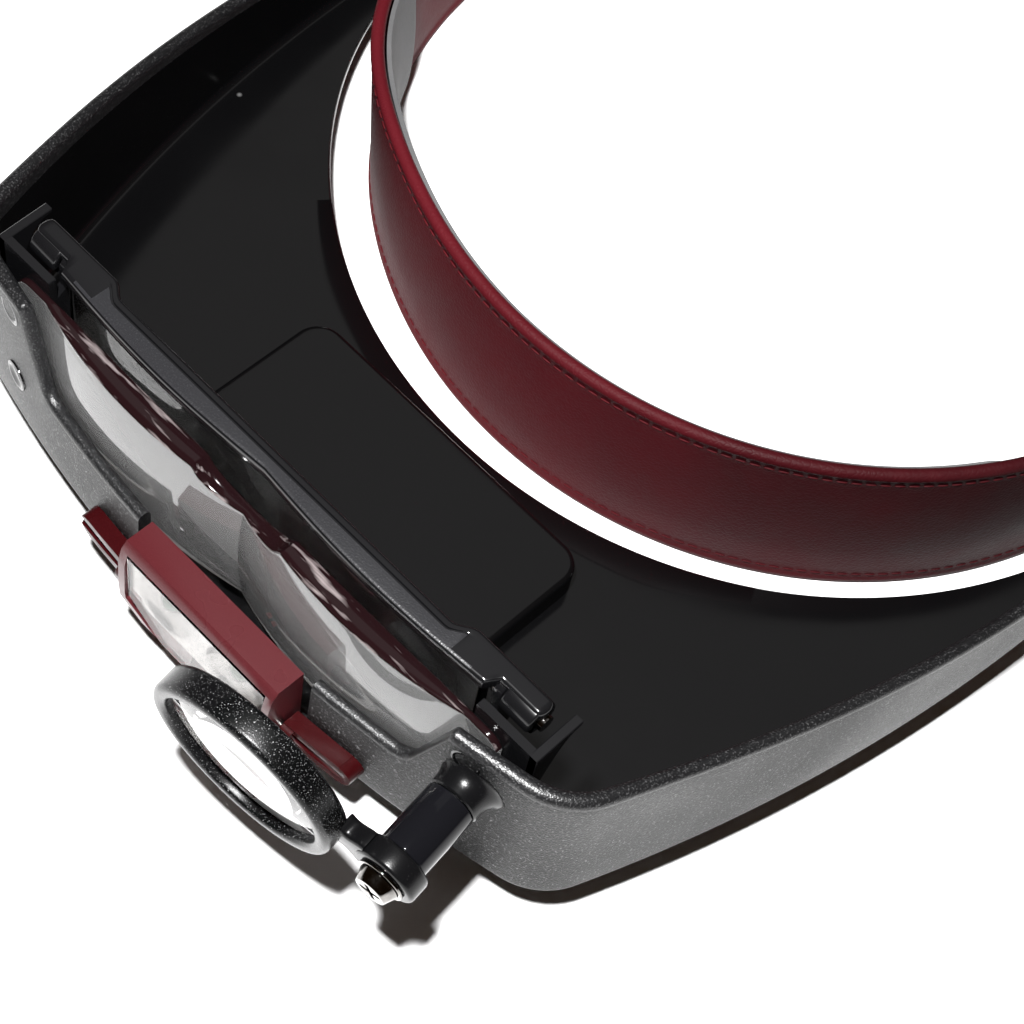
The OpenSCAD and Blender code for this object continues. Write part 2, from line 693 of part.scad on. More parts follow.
module lamp_housing() {
    boss_in = 4;
    color(maroon) difference() {
        union() {
            difference() {
                intersection() {
                    across(lamp_x - lamp_half - past, lamp_x + lamp_half + past, lamp_side());
                    lamp_front(-60, -30, 0);
                }
                intersection() {
                    across(lamp_x - lamp_half, lamp_x + lamp_half, lamp_room());
                    lamp_front(-60, -30, lamp_wall);
                }
            }
            for (s = [-1, 1]) translate([lamp_x, 0, 0]) mirror([s < 0 ? 1 : 0, 0, 0])
                rod_x(lamp_half - boss_in, lamp_half - 0.2, lamp_axis[0], lamp_axis[1], lamp_pin_d + 1.6);
            for (s = [-1, 1]) translate([lamp_x + s * 13, board_y + board_t + seat / 4, 24.3]) rotate([-90, 0, 0])
                cylinder(d = 2.4, h = lamp_rear - 0.5 - board_y - board_t - seat / 4);
        }
        rod_x(lamp_x - lamp_half - past, lamp_x + lamp_half + past, lamp_axis[0], lamp_axis[1], lamp_pin_d + 2 * fit);
        translate([lamp_x - 2, -44, 9.8]) cube([4, 6, 1.8]);
    }
}

module lamp_window() {
    color(clear) lamp_front(lamp_face, lamp_face + lamp_window_t, lamp_wall + seat);
}

module lamp_reflector() {
    front = -lamp_face - lamp_window_t - 0.2;
    color(silver) difference() {
        lamp_front(-front, board_y - seat - 0.2, lamp_wall + 0.2);
        for (s = [-1, 1]) translate([lamp_x + s * bowl_pitch / 2, 0, bowl_z]) rotate([90, 0, 0]) rotate_extrude()
            polygon([[0, front - 3], [led_d / 2 + 0.4, front - 3], [led_d / 2 + 0.5, front - 2], [4, front - 1.5],
                     [5.2, front - 0.8], [bowl_d / 2, front + 0.1], [0, front + 0.1]]);
        for (s = [-1, 1]) translate([lamp_x, 0, 0]) mirror([s < 0 ? 1 : 0, 0, 0])
            rod_x(lamp_half - 4.3, lamp_half, lamp_axis[0], lamp_axis[1], lamp_pin_d + 2.8);
        translate([lamp_x - lamp_half, -60, 0]) cube([lamp_w, 30, 14]);
    }
}

module lamp_leds() {
    color("lightyellow") for (s = [-1, 1]) translate([lamp_x + s * bowl_pitch / 2, board_y, bowl_z]) rotate([90, 0, 0]) {
        cylinder(d = led_d, h = 0.9);
        intersection() {
            translate([0, 0, 0.8]) sphere(d = led_d);
            cylinder(d = led_d, h = led_d);
        }
    }
}

module lamp_board() {
    color("darkgreen") difference() {
        translate([lamp_x - 15, board_y, 15.6]) cube([30, board_t, 10.6]);
        for (s = [-1, 1]) translate([lamp_x + s * 15, board_y - past, 15]) rotate([-90, 0, 0]) cylinder(d = 5.4, h = 4);
    }
}

module lamp_bracket(s) {
    // s is 1 on the loupe's side and -1 on the other side
    x_in = lamp_half + 0.4;
    x_out = lamp_half + wing_l;
    end_r = wing_h / 2 - 0.1;
    zc = wing_low + wing_h / 2;
    difference() {
        union() {
            intersection() {
                translate([0, front_cy, wing_low]) difference() {
                    cylinder(r = front_r + 0.15 + wing_t, h = wing_h, $fn = 360);
                    translate([0, 0, -past]) cylinder(r = front_r + 0.15, h = wing_h + 2 * past, $fn = 360);
                }
                translate([lamp_x, 0, 0]) mirror([s < 0 ? 1 : 0, 0, 0]) forward(-60, -20,
                    concat([[x_in, wing_low - past], [x_out - end_r, wing_low - past]],
                           arc([x_out - end_r, zc], end_r, -90, 90, 8),
                           [[x_out - end_r, wing_low + wing_h + past], [x_in, wing_low + wing_h + past]]));
            }
            translate([lamp_x, 0, 0]) mirror([s < 0 ? 1 : 0, 0, 0]) {
                rod_x(x_in, x_in + ear_t, lamp_axis[0], lamp_axis[1], wing_h - 0.6);
                translate([x_in, lamp_axis[0], wing_low]) cube([ear_t, 1.8, wing_h]);
            }
        }
        rod_x(lamp_x - 40, lamp_x + 40, lamp_axis[0], lamp_axis[1], lamp_pin_d + 2 * fit);
        at_front_wall(lamp_x + s * (lamp_half + 8.5), front_r - 6, lamp_axis[1]) cylinder(d = 1.9, h = 8);
    }
}

module lamp_bracket_left() {
    color(maroon) lamp_bracket(-1);
}

module lamp_bracket_right() {
    color(maroon) lamp_bracket(1);
}

module lamp_bracket_screws() {
    color(silver) for (s = [-1, 1])
        at_front_wall(lamp_x + s * (lamp_half + 8.5), front_r - wall_t - seat, lamp_axis[1]) {
            cylinder(d = 1.8, h = wall_t + 1.9);
            translate([0, 0, -1.2]) difference() {
                cylinder(d = 3.6, h = 1.2);
                for (a = [0, 90]) rotate([0, 0, a]) translate([-1.1, -0.2, -past]) cube([2.2, 0.4, past + 0.5]);
            }
        }
}

module lamp_pivot_pins() {
    color(silver) for (s = [-1, 1]) translate([lamp_x, 0, 0]) mirror([s < 0 ? 1 : 0, 0, 0])
        rod_x(lamp_half - 3.6, lamp_half + 0.4 + ear_t, lamp_axis[0], lamp_axis[1], lamp_pin_d);
}

// Loupe

module loupe_sleeve() {
    color(black) difference() {
        union() {
            at_loupe(boss_l + seat) cylinder(d = sleeve_d, h = sleeve_l);
            at_loupe(0.6) cylinder(d = spigot_d, h = boss_l);
        }
        at_loupe(4.5) cylinder(d = loupe_pin_d - 0.1, h = far);
    }
}

// Cross-section of the ring beside its axis, with rounded outer edges and a groove for the lens
function ring_section() =
    let (ro = ring_d / 2, ri = ring_d / 2 - ring_wall, h = ring_depth / 2, r = 0.9)
    concat(arc([ro - r, -h + r], r, -90, 0, 4), arc([ro - r, h - r], r, 0, 90, 4),
           [[ri + 0.5, h], [ri, h - 0.5], [ri, 0.8], [ri + 0.8, 0.8], [ri + 0.8, -0.8], [ri, -0.8],
            [ri, -h + 0.5], [ri + 0.5, -h]]);

module loupe_arm() {
    neck = ring_d / 2 - 1;
    color(black) difference() {
        union() {
            at_loupe(hub_z) cylinder(d = hub_d, h = hub_t);
            at_loupe(0) rotate([0, 0, -arm_turn]) {
                translate([-arm_reach, 0, ring_z + ring_depth / 2]) rotate_extrude($fn = 96) polygon(ring_section());
                translate([0, 0, hub_z + 0.3]) linear_extrude(hub_t - 0.6)
                    polygon([[-2, -4.6], [-arm_reach + neck + 0.4, -2.6], [-arm_reach + neck - 0.6, -3.4],
                             [-arm_reach + neck - 0.6, 3.4], [-arm_reach + neck + 0.4, 2.6], [-2, 4.6]]);
            }
        }
        at_loupe(hub_z - past) cylinder(d = loupe_pin_d + 2 * fit, h = hub_t + 2 * past);
    }
}

module loupe_lens() {
    edge_r = ring_d / 2 - ring_wall + 0.8 - seat;
    sphere_r = 70;
    edge_t = 1.3;
    sag = sphere_r - sqrt(sphere_r ^ 2 - edge_r ^ 2);
    shift = sphere_r - sag - edge_t / 2;
    color(clear) at_loupe(0) rotate([0, 0, -arm_turn]) translate([-arm_reach, 0, ring_z + ring_depth / 2]) intersection() {
        translate([0, 0, -shift]) sphere(r = sphere_r, $fn = 200);
        translate([0, 0, shift]) sphere(r = sphere_r, $fn = 200);
        translate([0, 0, -5]) cylinder(r = edge_r, h = 10);
    }
}

module loupe_washer() {
    color(silver) at_loupe(hub_z + hub_t + seat) difference() {
        cylinder(d = 8.2, h = 0.5);
        translate([0, 0, -past]) cylinder(d = loupe_pin_d + 0.3, h = 3);
    }
}

module loupe_screw() {
    top = hub_z + hub_t + 2 * seat + 0.5;
    color(silver) difference() {
        union() {
            at_loupe(5) cylinder(d = loupe_pin_d - 0.2, h = hub_z - 5);
            at_loupe(hub_z - seat) cylinder(d = loupe_pin_d, h = hub_t + 2);
            at_loupe(top) cylinder(d1 = 7, d2 = 5.4, h = 2);
        }
        for (a = [20, 110]) at_loupe(top + 1) rotate([0, 0, a]) translate([-2, -0.4, 0]) cube([4, 0.8, 3]);
    }
}

// Headband

// Plan of a band with a front arc and straight sides, between two radii
module band_plan(r_out, r_in, cy, side) {
    difference() {
        union() {
            intersection() {
                translate([0, cy]) circle(r = r_out, $fn = 180);
                translate([-far / 2, cy - far]) square([far, far]);
            }
            translate([-r_out, cy]) square([2 * r_out, side]);
        }
        translate([0, cy]) circle(r = r_in, $fn = 180);
        translate([-r_in, cy]) square([2 * r_in, side + past]);
    }
}

module forehead_band() {
    pipe_r = 1.25;
    mid = band_r - band_t / 2 + 0.15;
    color(maroon) difference() {
        union() {
            linear_extrude(band_h) band_plan(band_r, band_r - band_t, band_y, band_side);
            // Rolled edge that carries the stitches
            for (z = [pipe_r, band_h - pipe_r]) translate([0, band_y, z]) {
                rotate([0, 0, 180]) rotate_extrude(angle = 180, $fn = 180) translate([mid, 0]) circle(pipe_r, $fn = 24);
                both_sides() translate([mid, 0, 0]) rotate([-90, 0, 0]) cylinder(r = pipe_r, h = band_side, $fn = 24);
            }
        }
        both_sides() rod_x(band_r - 10, band_r + 10, pivot_y, pivot_z, pivot_d + 0.2);
        both_sides() for (z = rivet_zs) rod_x(band_r - 10, band_r + 10, rivet_y, z, rivet_d + 0.2);
    }
}

rivet_y = strap_start + 6;
rivet_zs = [band_h / 2 - 5.5, band_h / 2 + 5.5];
rivet_d = 2.6;

module band_lining() {
    outer = band_r - band_t - 0.3;
    low = 2;
    high = band_h - 2;
    color("dimgray") translate([0, band_y, 0]) rotate([0, 0, 270 - 62]) rotate_extrude(angle = 124, $fn = 120)
        polygon(concat([[outer, low], [outer, high]],
                       [for (i = [0:8]) [outer - 0.9 - (lining_t - 0.9) * sin(22.5 * i), high - (high - low) * i / 8]]));
}

module temple_pivot() {
    difference() {
        union() {
            rod_x(band_r - 6, pivot_x - ear_t_side - 0.1 - gap, pivot_y, pivot_z, 15);
            rod_x(band_r - band_t - 1, pivot_x + 3, pivot_y, pivot_z, pivot_d);
        }
        difference() {
            translate([0, band_y, -past]) cylinder(r = band_r + 0.2, h = far, $fn = 180);
            rod_x(band_r - 10, pivot_x, pivot_y, pivot_z, pivot_d);
        }
    }
}

module temple_pivots() {
    color(black) both_sides() temple_pivot();
}

module temple_knob() {
    lobes = 8;
    x = pivot_x + gap;
    difference() {
        union() {
            rod_x(x, x + 4, pivot_y, pivot_z, 19);
            rod_x(x + 3.9, x + 5.2, pivot_y, pivot_z, 15);
        }
        rod_x(x - past, pivot_x + 3 + seat, pivot_y, pivot_z, pivot_d + 0.04);
        for (i = [0:lobes - 1]) translate([0, pivot_y, pivot_z]) rotate([360 / lobes * i, 0, 0])
            rod_x(x - past, x + 8, 10.8, 0, 5);
    }
}

module temple_knob_right() {
    color(black) temple_knob();
}

module temple_knob_left() {
    color(black) mirror([1, 0, 0]) temple_knob();
}

module rear_strap() {
    color(maroon) difference() {
        translate([0, 0, strap_z]) mirror([0, 1, 0]) translate([0, -2 * strap_cy + strap_cy, 0])
            linear_extrude(strap_h) band_plan(strap_x, strap_x - strap_t, 0, strap_side);
        both_sides() for (z = rivet_zs) rod_x(strap_x - 10, strap_x + 10, rivet_y, z, rivet_d + 0.2);
    }
}

module strap_buckle() {
    wall = 1.6;
    turn = 9;
    r_in = strap_x - strap_t;
    color(black) translate([0, strap_cy, strap_z + strap_h / 2]) rotate([0, 0, 90 - turn])
        rotate_extrude(angle = 2 * turn, $fn = 120) difference() {
            translate([r_in - gap - wall, -strap_h / 2 - gap - wall])
                square([strap_t + 2 * gap + 2 * wall, strap_h + 2 * gap + 2 * wall]);
            translate([r_in - gap, -strap_h / 2 - gap]) square([strap_t + 2 * gap, strap_h + 2 * gap]);
        }
}

module band_rivets() {
    x_in = strap_x - strap_t - seat / 2;
    x_out = band_r + seat / 2;
    color(silver) both_sides() for (z = rivet_zs) {
        rod_x(x_in - 0.6, x_out + 0.6, rivet_y, z, rivet_d);
        rod_x(x_in - 0.8, x_in, rivet_y, z, 5.4);
        rod_x(x_out, x_out + 0.9, rivet_y, z, 5.4);
    }
}

visor_shell();
wire_cover();
battery_cells();
battery_springs();
battery_contacts();
battery_lid();
switch_body();
switch_slider();
lead_wires();
main_lens();
lens_screws();
lens_bracket_left();
lens_bracket_right();
bracket_pins();
inner_lens_frame();
inner_lens_plate();
lamp_bracket_left();
lamp_bracket_right();
lamp_bracket_screws();
lamp_pivot_pins();
lamp_housing();
lamp_window();
lamp_reflector();
lamp_leds();
lamp_board();
loupe_sleeve();
loupe_arm();
loupe_lens();
loupe_washer();
loupe_screw();
forehead_band();
band_lining();
temple_pivots();
temple_knob_left();
temple_knob_right();
rear_strap();
strap_buckle();
band_rivets();
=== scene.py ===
# %% [markdown]
# # A lighted headband magnifier, crown side down on a bench
#
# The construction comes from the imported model, which is loaded as a fixed frame. This file
# gives each visible piece its finish: smooth moulded skins, clear lenses, a leatherette band
# with its stitches, plated metal. Every new piece is a surface worked out on a grid with numpy,
# in the frame's own coordinates, so nothing has to be fitted afterwards. Sizes are written in
# millimetres and turned into metres when a mesh is made.

# %% Loading the frame
import math

import bmesh
import bpy
import numpy as np
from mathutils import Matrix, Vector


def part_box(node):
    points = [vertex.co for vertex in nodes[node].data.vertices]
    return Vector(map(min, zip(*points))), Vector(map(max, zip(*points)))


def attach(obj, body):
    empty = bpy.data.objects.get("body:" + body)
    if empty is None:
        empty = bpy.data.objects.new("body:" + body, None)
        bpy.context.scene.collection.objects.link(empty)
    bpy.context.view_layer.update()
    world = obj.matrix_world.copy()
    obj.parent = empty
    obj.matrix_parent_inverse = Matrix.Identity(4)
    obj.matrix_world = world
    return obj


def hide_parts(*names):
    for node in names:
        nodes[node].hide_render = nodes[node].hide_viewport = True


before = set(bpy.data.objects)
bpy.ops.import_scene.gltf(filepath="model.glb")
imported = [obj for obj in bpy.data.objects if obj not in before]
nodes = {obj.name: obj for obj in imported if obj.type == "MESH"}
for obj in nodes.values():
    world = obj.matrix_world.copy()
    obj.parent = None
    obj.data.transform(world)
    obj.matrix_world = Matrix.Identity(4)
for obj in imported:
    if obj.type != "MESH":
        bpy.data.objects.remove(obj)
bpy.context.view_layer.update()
MM = 0.001


def new_object(name, data):
    """An object that holds the given data, linked to the scene."""
    made = bpy.data.objects.new(name, data)
    bpy.context.scene.collection.objects.link(made)
    return made


def set_axes(piece, x, y, z, place):
    """Puts an object at place, with its own axes along x, y and z. Blender takes the columns first."""
    matrix = np.eye(4)
    matrix[:3, 0], matrix[:3, 1], matrix[:3, 2], matrix[:3, 3] = x, y, z, place
    piece.matrix_world = matrix.T.tolist()

# %% [markdown]
# ## Camera
#
# The photograph was taken with a longish lens from the front right, about 40 cm away, looking
# down at the inside of the visor, and the camera was turned a little. The view is written as an
# azimuth, an elevation, a roll and a distance from a point on the brim, because these can be
# read and changed one by one, which a ready-made matrix can't.

# %% Camera
VIEW_AZIMUTH = math.radians(34.02)
VIEW_ELEVATION = math.radians(58.27)
VIEW_ROLL = math.radians(13.35)
VIEW_DISTANCE = 0.3959
VIEW_TARGET = np.array([15.52, 15.48, 10.0]) * MM
LENS_MM = 83.0


def add_camera():
    """The direction follows from azimuth and elevation; roll turns the picture's axes about it."""
    to_eye = np.array([
        math.sin(VIEW_AZIMUTH) * math.cos(VIEW_ELEVATION),
        -math.cos(VIEW_AZIMUTH) * math.cos(VIEW_ELEVATION),
        math.sin(VIEW_ELEVATION),
    ])
    right = np.array([math.cos(VIEW_AZIMUTH), math.sin(VIEW_AZIMUTH), 0.0])
    up = np.cross(to_eye, right)
    rolled_right = right * math.cos(VIEW_ROLL) + up * math.sin(VIEW_ROLL)
    rolled_up = up * math.cos(VIEW_ROLL) - right * math.sin(VIEW_ROLL)
    data = bpy.data.cameras.new("bench_camera")
    data.lens = LENS_MM
    data.sensor_width = 36.0
    data.clip_start = 0.01
    camera = new_object("bench_camera", data)
    set_axes(camera, rolled_right, rolled_up, to_eye, VIEW_TARGET + to_eye * VIEW_DISTANCE)
    bpy.context.scene.camera = camera
    return camera


camera = add_camera()
print("camera at", [round(v, 3) for v in camera.matrix_world.translation])

# %% [markdown]
# ## Floor and light
#
# The object lies on a white sheet in a dark room, lit by the camera's own flash, which sits some
# 42 cm above the sheet, just left of the lens. Its place was found by letting shadows fall from
# several points until they met the photographed ones: short, crisp, to the lower right. The sheet
# is three times brighter than white on purpose: it is what the clear plates and outer walls mirror.
# A faint warm world fills the shadows, and a dim panel is the wall that the polished brim mirrors.

# %% Floor, lights and the way colours are shown
def add_floor():
    """One large white square at the height on which the object rests."""
    half = 3.0
    corners = [(-half, -half, 0), (half, -half, 0), (half, half, 0), (-half, half, 0)]
    mesh = bpy.data.meshes.new("bench")
    mesh.from_pydata(corners, [], [(0, 1, 2, 3)])
    floor = new_object("bench", mesh)
    return floor


def area_light(name, place, aim, size, power):
    """A square soft box at place, turned towards aim; sizes in metres, power in watts."""
    data = bpy.data.lights.new(name, "AREA")
    data.size = size
    data.energy = power
    lamp = new_object(name, data)
    z = np.array(place, float) - np.array(aim, float)
    z /= np.linalg.norm(z)
    x = np.cross((0.0, 1.0, 0.0), z)
    x /= np.linalg.norm(x)
    set_axes(lamp, x, np.cross(z, x), z, place)
    return lamp


floor = add_floor()
area_light("flash", place=(0.058, -0.136, 0.42), aim=(0.0, 0.0, 0.0), size=0.03, power=5.8)
area_light("far_wall", place=(-0.42, 0.62, 1.2), aim=(0.0, 0.05, 0.02), size=0.8, power=0.6)

world = bpy.data.worlds.new("dark_room")
bpy.context.scene.world = world
world.use_nodes = True
background = world.node_tree.nodes["Background"]
background.inputs["Color"].default_value = (1.0, 0.56, 0.28, 1.0)
background.inputs["Strength"].default_value = 0.022
bpy.context.scene.view_settings.view_transform = "Standard"

# %% [markdown]
# ## Mesh helpers
#
# Almost every piece here is a stack of rings: closed outlines of equal length, joined ring to
# ring. A moulded block, a lathed knob, a swept band and a shell with a thickness are all such
# stacks, so one function that makes faces from a grid of points serves them all.

# %% Grids into meshes
def grid_mesh(name, grid, loop_u=False, loop_v=False, caps=False, sharp=40.0, bands=None):
    """A mesh from a (rows, columns, 3) grid: each cell becomes a quad, rows or columns may close on
    themselves, and with caps the first and last row are closed by one face each. bands gives each
    row of cells a material index."""
    rows, cols = grid.shape[:2]
    index = np.arange(rows * cols).reshape(rows, cols)
    lower = index if loop_v else index[:-1]
    upper = np.roll(index, -1, axis=0) if loop_v else index[1:]
    if loop_u:
        right_low, right_high = np.roll(lower, -1, axis=1), np.roll(upper, -1, axis=1)
    else:
        lower, right_low = lower[:, :-1], lower[:, 1:]
        upper, right_high = upper[:, :-1], upper[:, 1:]
    quads = np.stack([lower, right_low, right_high, upper], axis=-1).reshape(-1, 4)
    faces = quads.tolist()
    if caps:
        faces += [index[0, ::-1].tolist(), index[-1].tolist()]
    mesh = bpy.data.meshes.new(name)
    mesh.from_pydata((grid.reshape(-1, 3) * MM).tolist(), [], faces)
    if bands is not None:
        material = np.repeat(np.asarray(bands, np.int32), right_low.shape[1])
        mesh.polygons.foreach_set("material_index", material)
    return finish_mesh(name, mesh, sharp)


def edited(mesh, change):
    """Runs a change on a mesh while it is open as an editable one."""
    work = bmesh.new()
    work.from_mesh(mesh)
    change(work)
    work.to_mesh(mesh)
    work.free()


def smooth(mesh, sharp):
    """Smooths the shading across all edges whose angle in degrees is below sharp."""
    mesh.polygons.foreach_set("use_smooth", np.ones(len(mesh.polygons), bool))
    mesh.set_sharp_from_angle(angle=math.radians(sharp))


def finish_mesh(name, mesh, sharp=40.0):
    """Merges doubled points, turns all faces outwards and smooths the shading."""
    def mend(work):
        bmesh.ops.remove_doubles(work, verts=work.verts, dist=2e-6)
        bmesh.ops.dissolve_degenerate(work, edges=work.edges, dist=1e-6)
        bmesh.ops.recalc_face_normals(work, faces=work.faces)

    edited(mesh, mend)
    smooth(mesh, sharp)
    return new_object(name, mesh)

# %% Bases, lathes and round outlines
def basis(origin, z_axis, x_hint=(1.0, 0.0, 0.0)):
    """Origin and three axes: z along z_axis, x as near to x_hint as it can be."""
    z = np.array(z_axis, float)
    z /= np.linalg.norm(z)
    x = np.array(x_hint, float)
    x -= z * (x @ z)
    x /= np.linalg.norm(x)
    return np.array(origin, float), x, np.cross(z, x), z


def place(points, at):
    """Points given in a basis, moved into the frame."""
    origin, x, y, z = at
    return origin + points[..., 0:1] * x + points[..., 1:2] * y + points[..., 2:3] * z


def lathe(name, profile, at, steps=96, sharp=40.0):
    """A profile of (radius, height) pairs turned about the basis's z axis. Radii of zero are closed
    to a point, and a profile that never reaches the axis closes on itself."""
    profile = np.array(profile, float)
    angle = np.linspace(0, 2 * np.pi, steps, endpoint=False)
    radius, height = profile[:, 0][:, None], profile[:, 1][:, None]
    grid = np.stack([radius * np.cos(angle), radius * np.sin(angle), height + 0 * angle], axis=-1)
    ring = profile[0, 0] > 0 and profile[-1, 0] > 0
    return grid_mesh(name, place(grid, at), loop_u=True, loop_v=ring, sharp=sharp)


def arc(cx, cy, radius, start, stop, count, radius_y=None):
    """Points on a circle or an ellipse between two angles in degrees, both ends included."""
    angle = np.radians(np.linspace(start, stop, count))
    radius_y = radius if radius_y is None else radius_y
    return [(cx + radius * math.cos(a), cy + radius_y * math.sin(a)) for a in angle]


def rounded_profile(r_in, r_out, h0, h1, edge, steps=4):
    """Closed rectangle between two radii and two heights with round corners."""
    r_low, r_high, h_low, h_high = r_in + edge, r_out - edge, h0 + edge, h1 - edge
    points = []
    for k, (r, h) in enumerate(((r_high, h_low), (r_high, h_high), (r_low, h_high), (r_low, h_low))):
        points += arc(r, h, edge, 90 * k - 90, 90 * k, steps + 1)
    return points

# %% Joining and softening
def join(name, pieces):
    """Several meshes as one piece, each a closed shell of its own; materials follow."""
    work = bmesh.new()
    materials = []
    for piece in pieces:
        own = list(piece.data.materials)
        materials += [m for m in own if m not in materials]
        offset = {i: materials.index(m) for i, m in enumerate(own)}
        before = len(work.faces)
        work.from_mesh(piece.data)
        work.faces.ensure_lookup_table()
        for face in work.faces[before:]:
            face.material_index = offset.get(face.material_index, 0)
    mesh = bpy.data.meshes.new(name)
    work.to_mesh(mesh)
    work.free()
    for m in materials:
        mesh.materials.append(m)
    joined = new_object(name, mesh)
    for piece in pieces:
        bpy.data.objects.remove(piece)
    return joined


def softened(node, width, segments=2, angle=32.0):
    """A copy of a frame node with its flat faces rebuilt and its sharp edges rounded by a bevel."""
    mesh = nodes[node].data.copy()
    mesh.materials.clear()
    flat = math.radians(1.0)

    def rebuild(work):
        bmesh.ops.remove_doubles(work, verts=work.verts, dist=1e-6)
        bmesh.ops.dissolve_limit(work, angle_limit=flat, verts=work.verts, edges=work.edges)

    edited(mesh, rebuild)
    smooth(mesh, 60.0)
    piece = new_object(node + "_finish", mesh)
    bevel = piece.modifiers.new("edges", "BEVEL")
    bevel.width = width * MM
    bevel.segments = segments
    bevel.limit_method = "ANGLE"
    bevel.angle_limit = math.radians(angle)
    bevel.harden_normals = True
    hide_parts(node)
    return piece


# %% [markdown]
# ## Finishes
#
# Each effect that several finishes share is a shader node group with named inputs: a spark
# texture for moulded plastic, dust and smears, and leather grain. A group only puts out masks and
# heights. The shader itself stays in the material, so that each finish keeps its own gloss, and
# can be changed without touching the others.

# %% Helpers for shader trees
def new_group(name, inputs, outputs):
    """An empty shader group with float inputs (name, default) and outputs, and its two end nodes."""
    tree = bpy.data.node_groups.new(name, "ShaderNodeTree")
    for label, default in inputs:
        socket = tree.interface.new_socket(label, in_out="INPUT", socket_type="NodeSocketFloat")
        socket.default_value = default
    for label in outputs:
        tree.interface.new_socket(label, in_out="OUTPUT", socket_type="NodeSocketFloat")
    return tree, tree.nodes.new("NodeGroupInput").outputs, tree.nodes.new("NodeGroupOutput")


def wire(tree, value, socket):
    """Links an output to a socket. A plain number, colour or vector sets the socket instead."""
    if hasattr(value, "is_output"):
        tree.links.new(value, socket)
    else:
        socket.default_value = value


def add(tree, kind, settings=None, **links):
    """A node in a tree, with values or outputs wired to its sockets by their names."""
    node = tree.nodes.new(kind)
    for key, value in (settings or {}).items():
        setattr(node, key, value)
    for key, value in links.items():
        wire(tree, value, node.inputs[key.replace("_", " ")])
    return node


def reckon(tree, operation, *values, kind="ShaderNodeMath"):
    """The result of one operation on numbers, or on vectors with another kind of node."""
    node = add(tree, kind, {"operation": operation})
    for value, socket in zip(values, node.inputs):
        wire(tree, value, socket)
    return node.outputs[0]


def spread(tree, fac, low, high, start=0.0, stop=1.0):
    """A number that goes from low to high while a mask goes from start to stop."""
    node = add(tree, "ShaderNodeMapRange", Value=fac, From_Min=start, From_Max=stop, To_Min=low, To_Max=high)
    return node.outputs[0]


def object_space(tree):
    """A place in the piece's own space, so that a pattern moves with its piece."""
    return add(tree, "ShaderNodeTexCoord").outputs["Object"]

# %% Shader groups
def spark_texture():
    """Height of a spark-eroded mould: coarse and fine noise added, in object space. Glint marks the highest
    grains, where a finish paints glints into its base colour.
    """
    inputs = [("Scale", 1400.0), ("Sharpness", 1.0), ("Sparsity", 0.55)]
    tree, given, end = new_group("spark_texture", inputs, ["Height", "Glint"])
    where = object_space(tree)
    fine = add(tree, "ShaderNodeTexNoise", Vector=where, Scale=given["Scale"], Detail=3.0).outputs["Fac"]
    cells = add(tree, "ShaderNodeTexVoronoi", Vector=where, Scale=given["Scale"])
    both = reckon(tree, "MULTIPLY_ADD", cells.outputs["Distance"], 0.6, fine)
    full = reckon(tree, "ADD", given["Sparsity"], 0.2)
    wire(tree, reckon(tree, "MULTIPLY", both, given["Sharpness"]), end.inputs["Height"])
    wire(tree, spread(tree, fine, 0.0, 1.0, given["Sparsity"], full), end.inputs["Glint"])
    return tree


def handling_marks():
    """Dust specks and smears: sparse bright cells, and a slow noise for where hands have wiped."""
    inputs = [("Speck Scale", 160.0), ("Smear Scale", 22.0)]
    tree, given, end = new_group("handling_marks", inputs, ["Specks", "Smears"])
    where = object_space(tree)
    cells = add(tree, "ShaderNodeTexVoronoi", Vector=where, Scale=given["Speck Scale"])
    near = spread(tree, cells.outputs["Distance"], 0.0, 1.0, 0.10, 0.03)
    chance = add(tree, "ShaderNodeSeparateColor", Color=cells.outputs["Color"]).outputs[0]
    rare = reckon(tree, "GREATER_THAN", chance, 0.965)
    wiped = given["Smear Scale"]
    slow = add(tree, "ShaderNodeTexNoise", Vector=where, Scale=wiped, Detail=4.0, Roughness=0.6)
    wire(tree, reckon(tree, "MULTIPLY", near, rare), end.inputs["Specks"])
    wire(tree, spread(tree, slow.outputs["Fac"], 0.0, 1.0, 0.35, 0.75), end.inputs["Smears"])
    return tree


def leather_grain():
    """Leather grain: pebbles from a cell pattern, broken by fine noise, with creases between them."""
    tree, given, end = new_group("leather_grain", [("Scale", 700.0), ("Crease", 1.0)], ["Height", "Tone"])
    where = object_space(tree)
    warp = add(tree, "ShaderNodeTexNoise", Vector=where, Scale=380.0, Detail=2.0).outputs["Color"]
    reach = (0.0012, 0.0012, 0.0012)
    shifted = reckon(tree, "MULTIPLY_ADD", warp, reach, where, kind="ShaderNodeVectorMath")
    edges = {"feature": "DISTANCE_TO_EDGE"}
    cells = add(tree, "ShaderNodeTexVoronoi", edges, Vector=shifted, Scale=given["Scale"])
    crease = spread(tree, cells.outputs["Distance"], 0.0, 1.0, 0.0, 0.22)
    tone = add(tree, "ShaderNodeTexNoise", Vector=where, Scale=34.0, Detail=5.0, Roughness=0.65)
    wire(tree, reckon(tree, "MULTIPLY", crease, given["Crease"]), end.inputs["Height"])
    wire(tree, tone.outputs["Fac"], end.inputs["Tone"])
    return tree


SPARK = spark_texture()
MARKS = handling_marks()
GRAIN = leather_grain()
print("groups:", [group.name for group in (SPARK, MARKS, GRAIN)])

# %% [markdown]
# ## Materials
#
# The visor is one moulding with three finishes: spark texture outside, polished inside, where the
# brim mirrors the walls, and a finer texture on the rim. The lamp is dark red plastic, the band
# dark red leatherette. A finish is a short function that makes a Principled shader, takes its
# masks from the groups above and mixes colours and roughness with them.

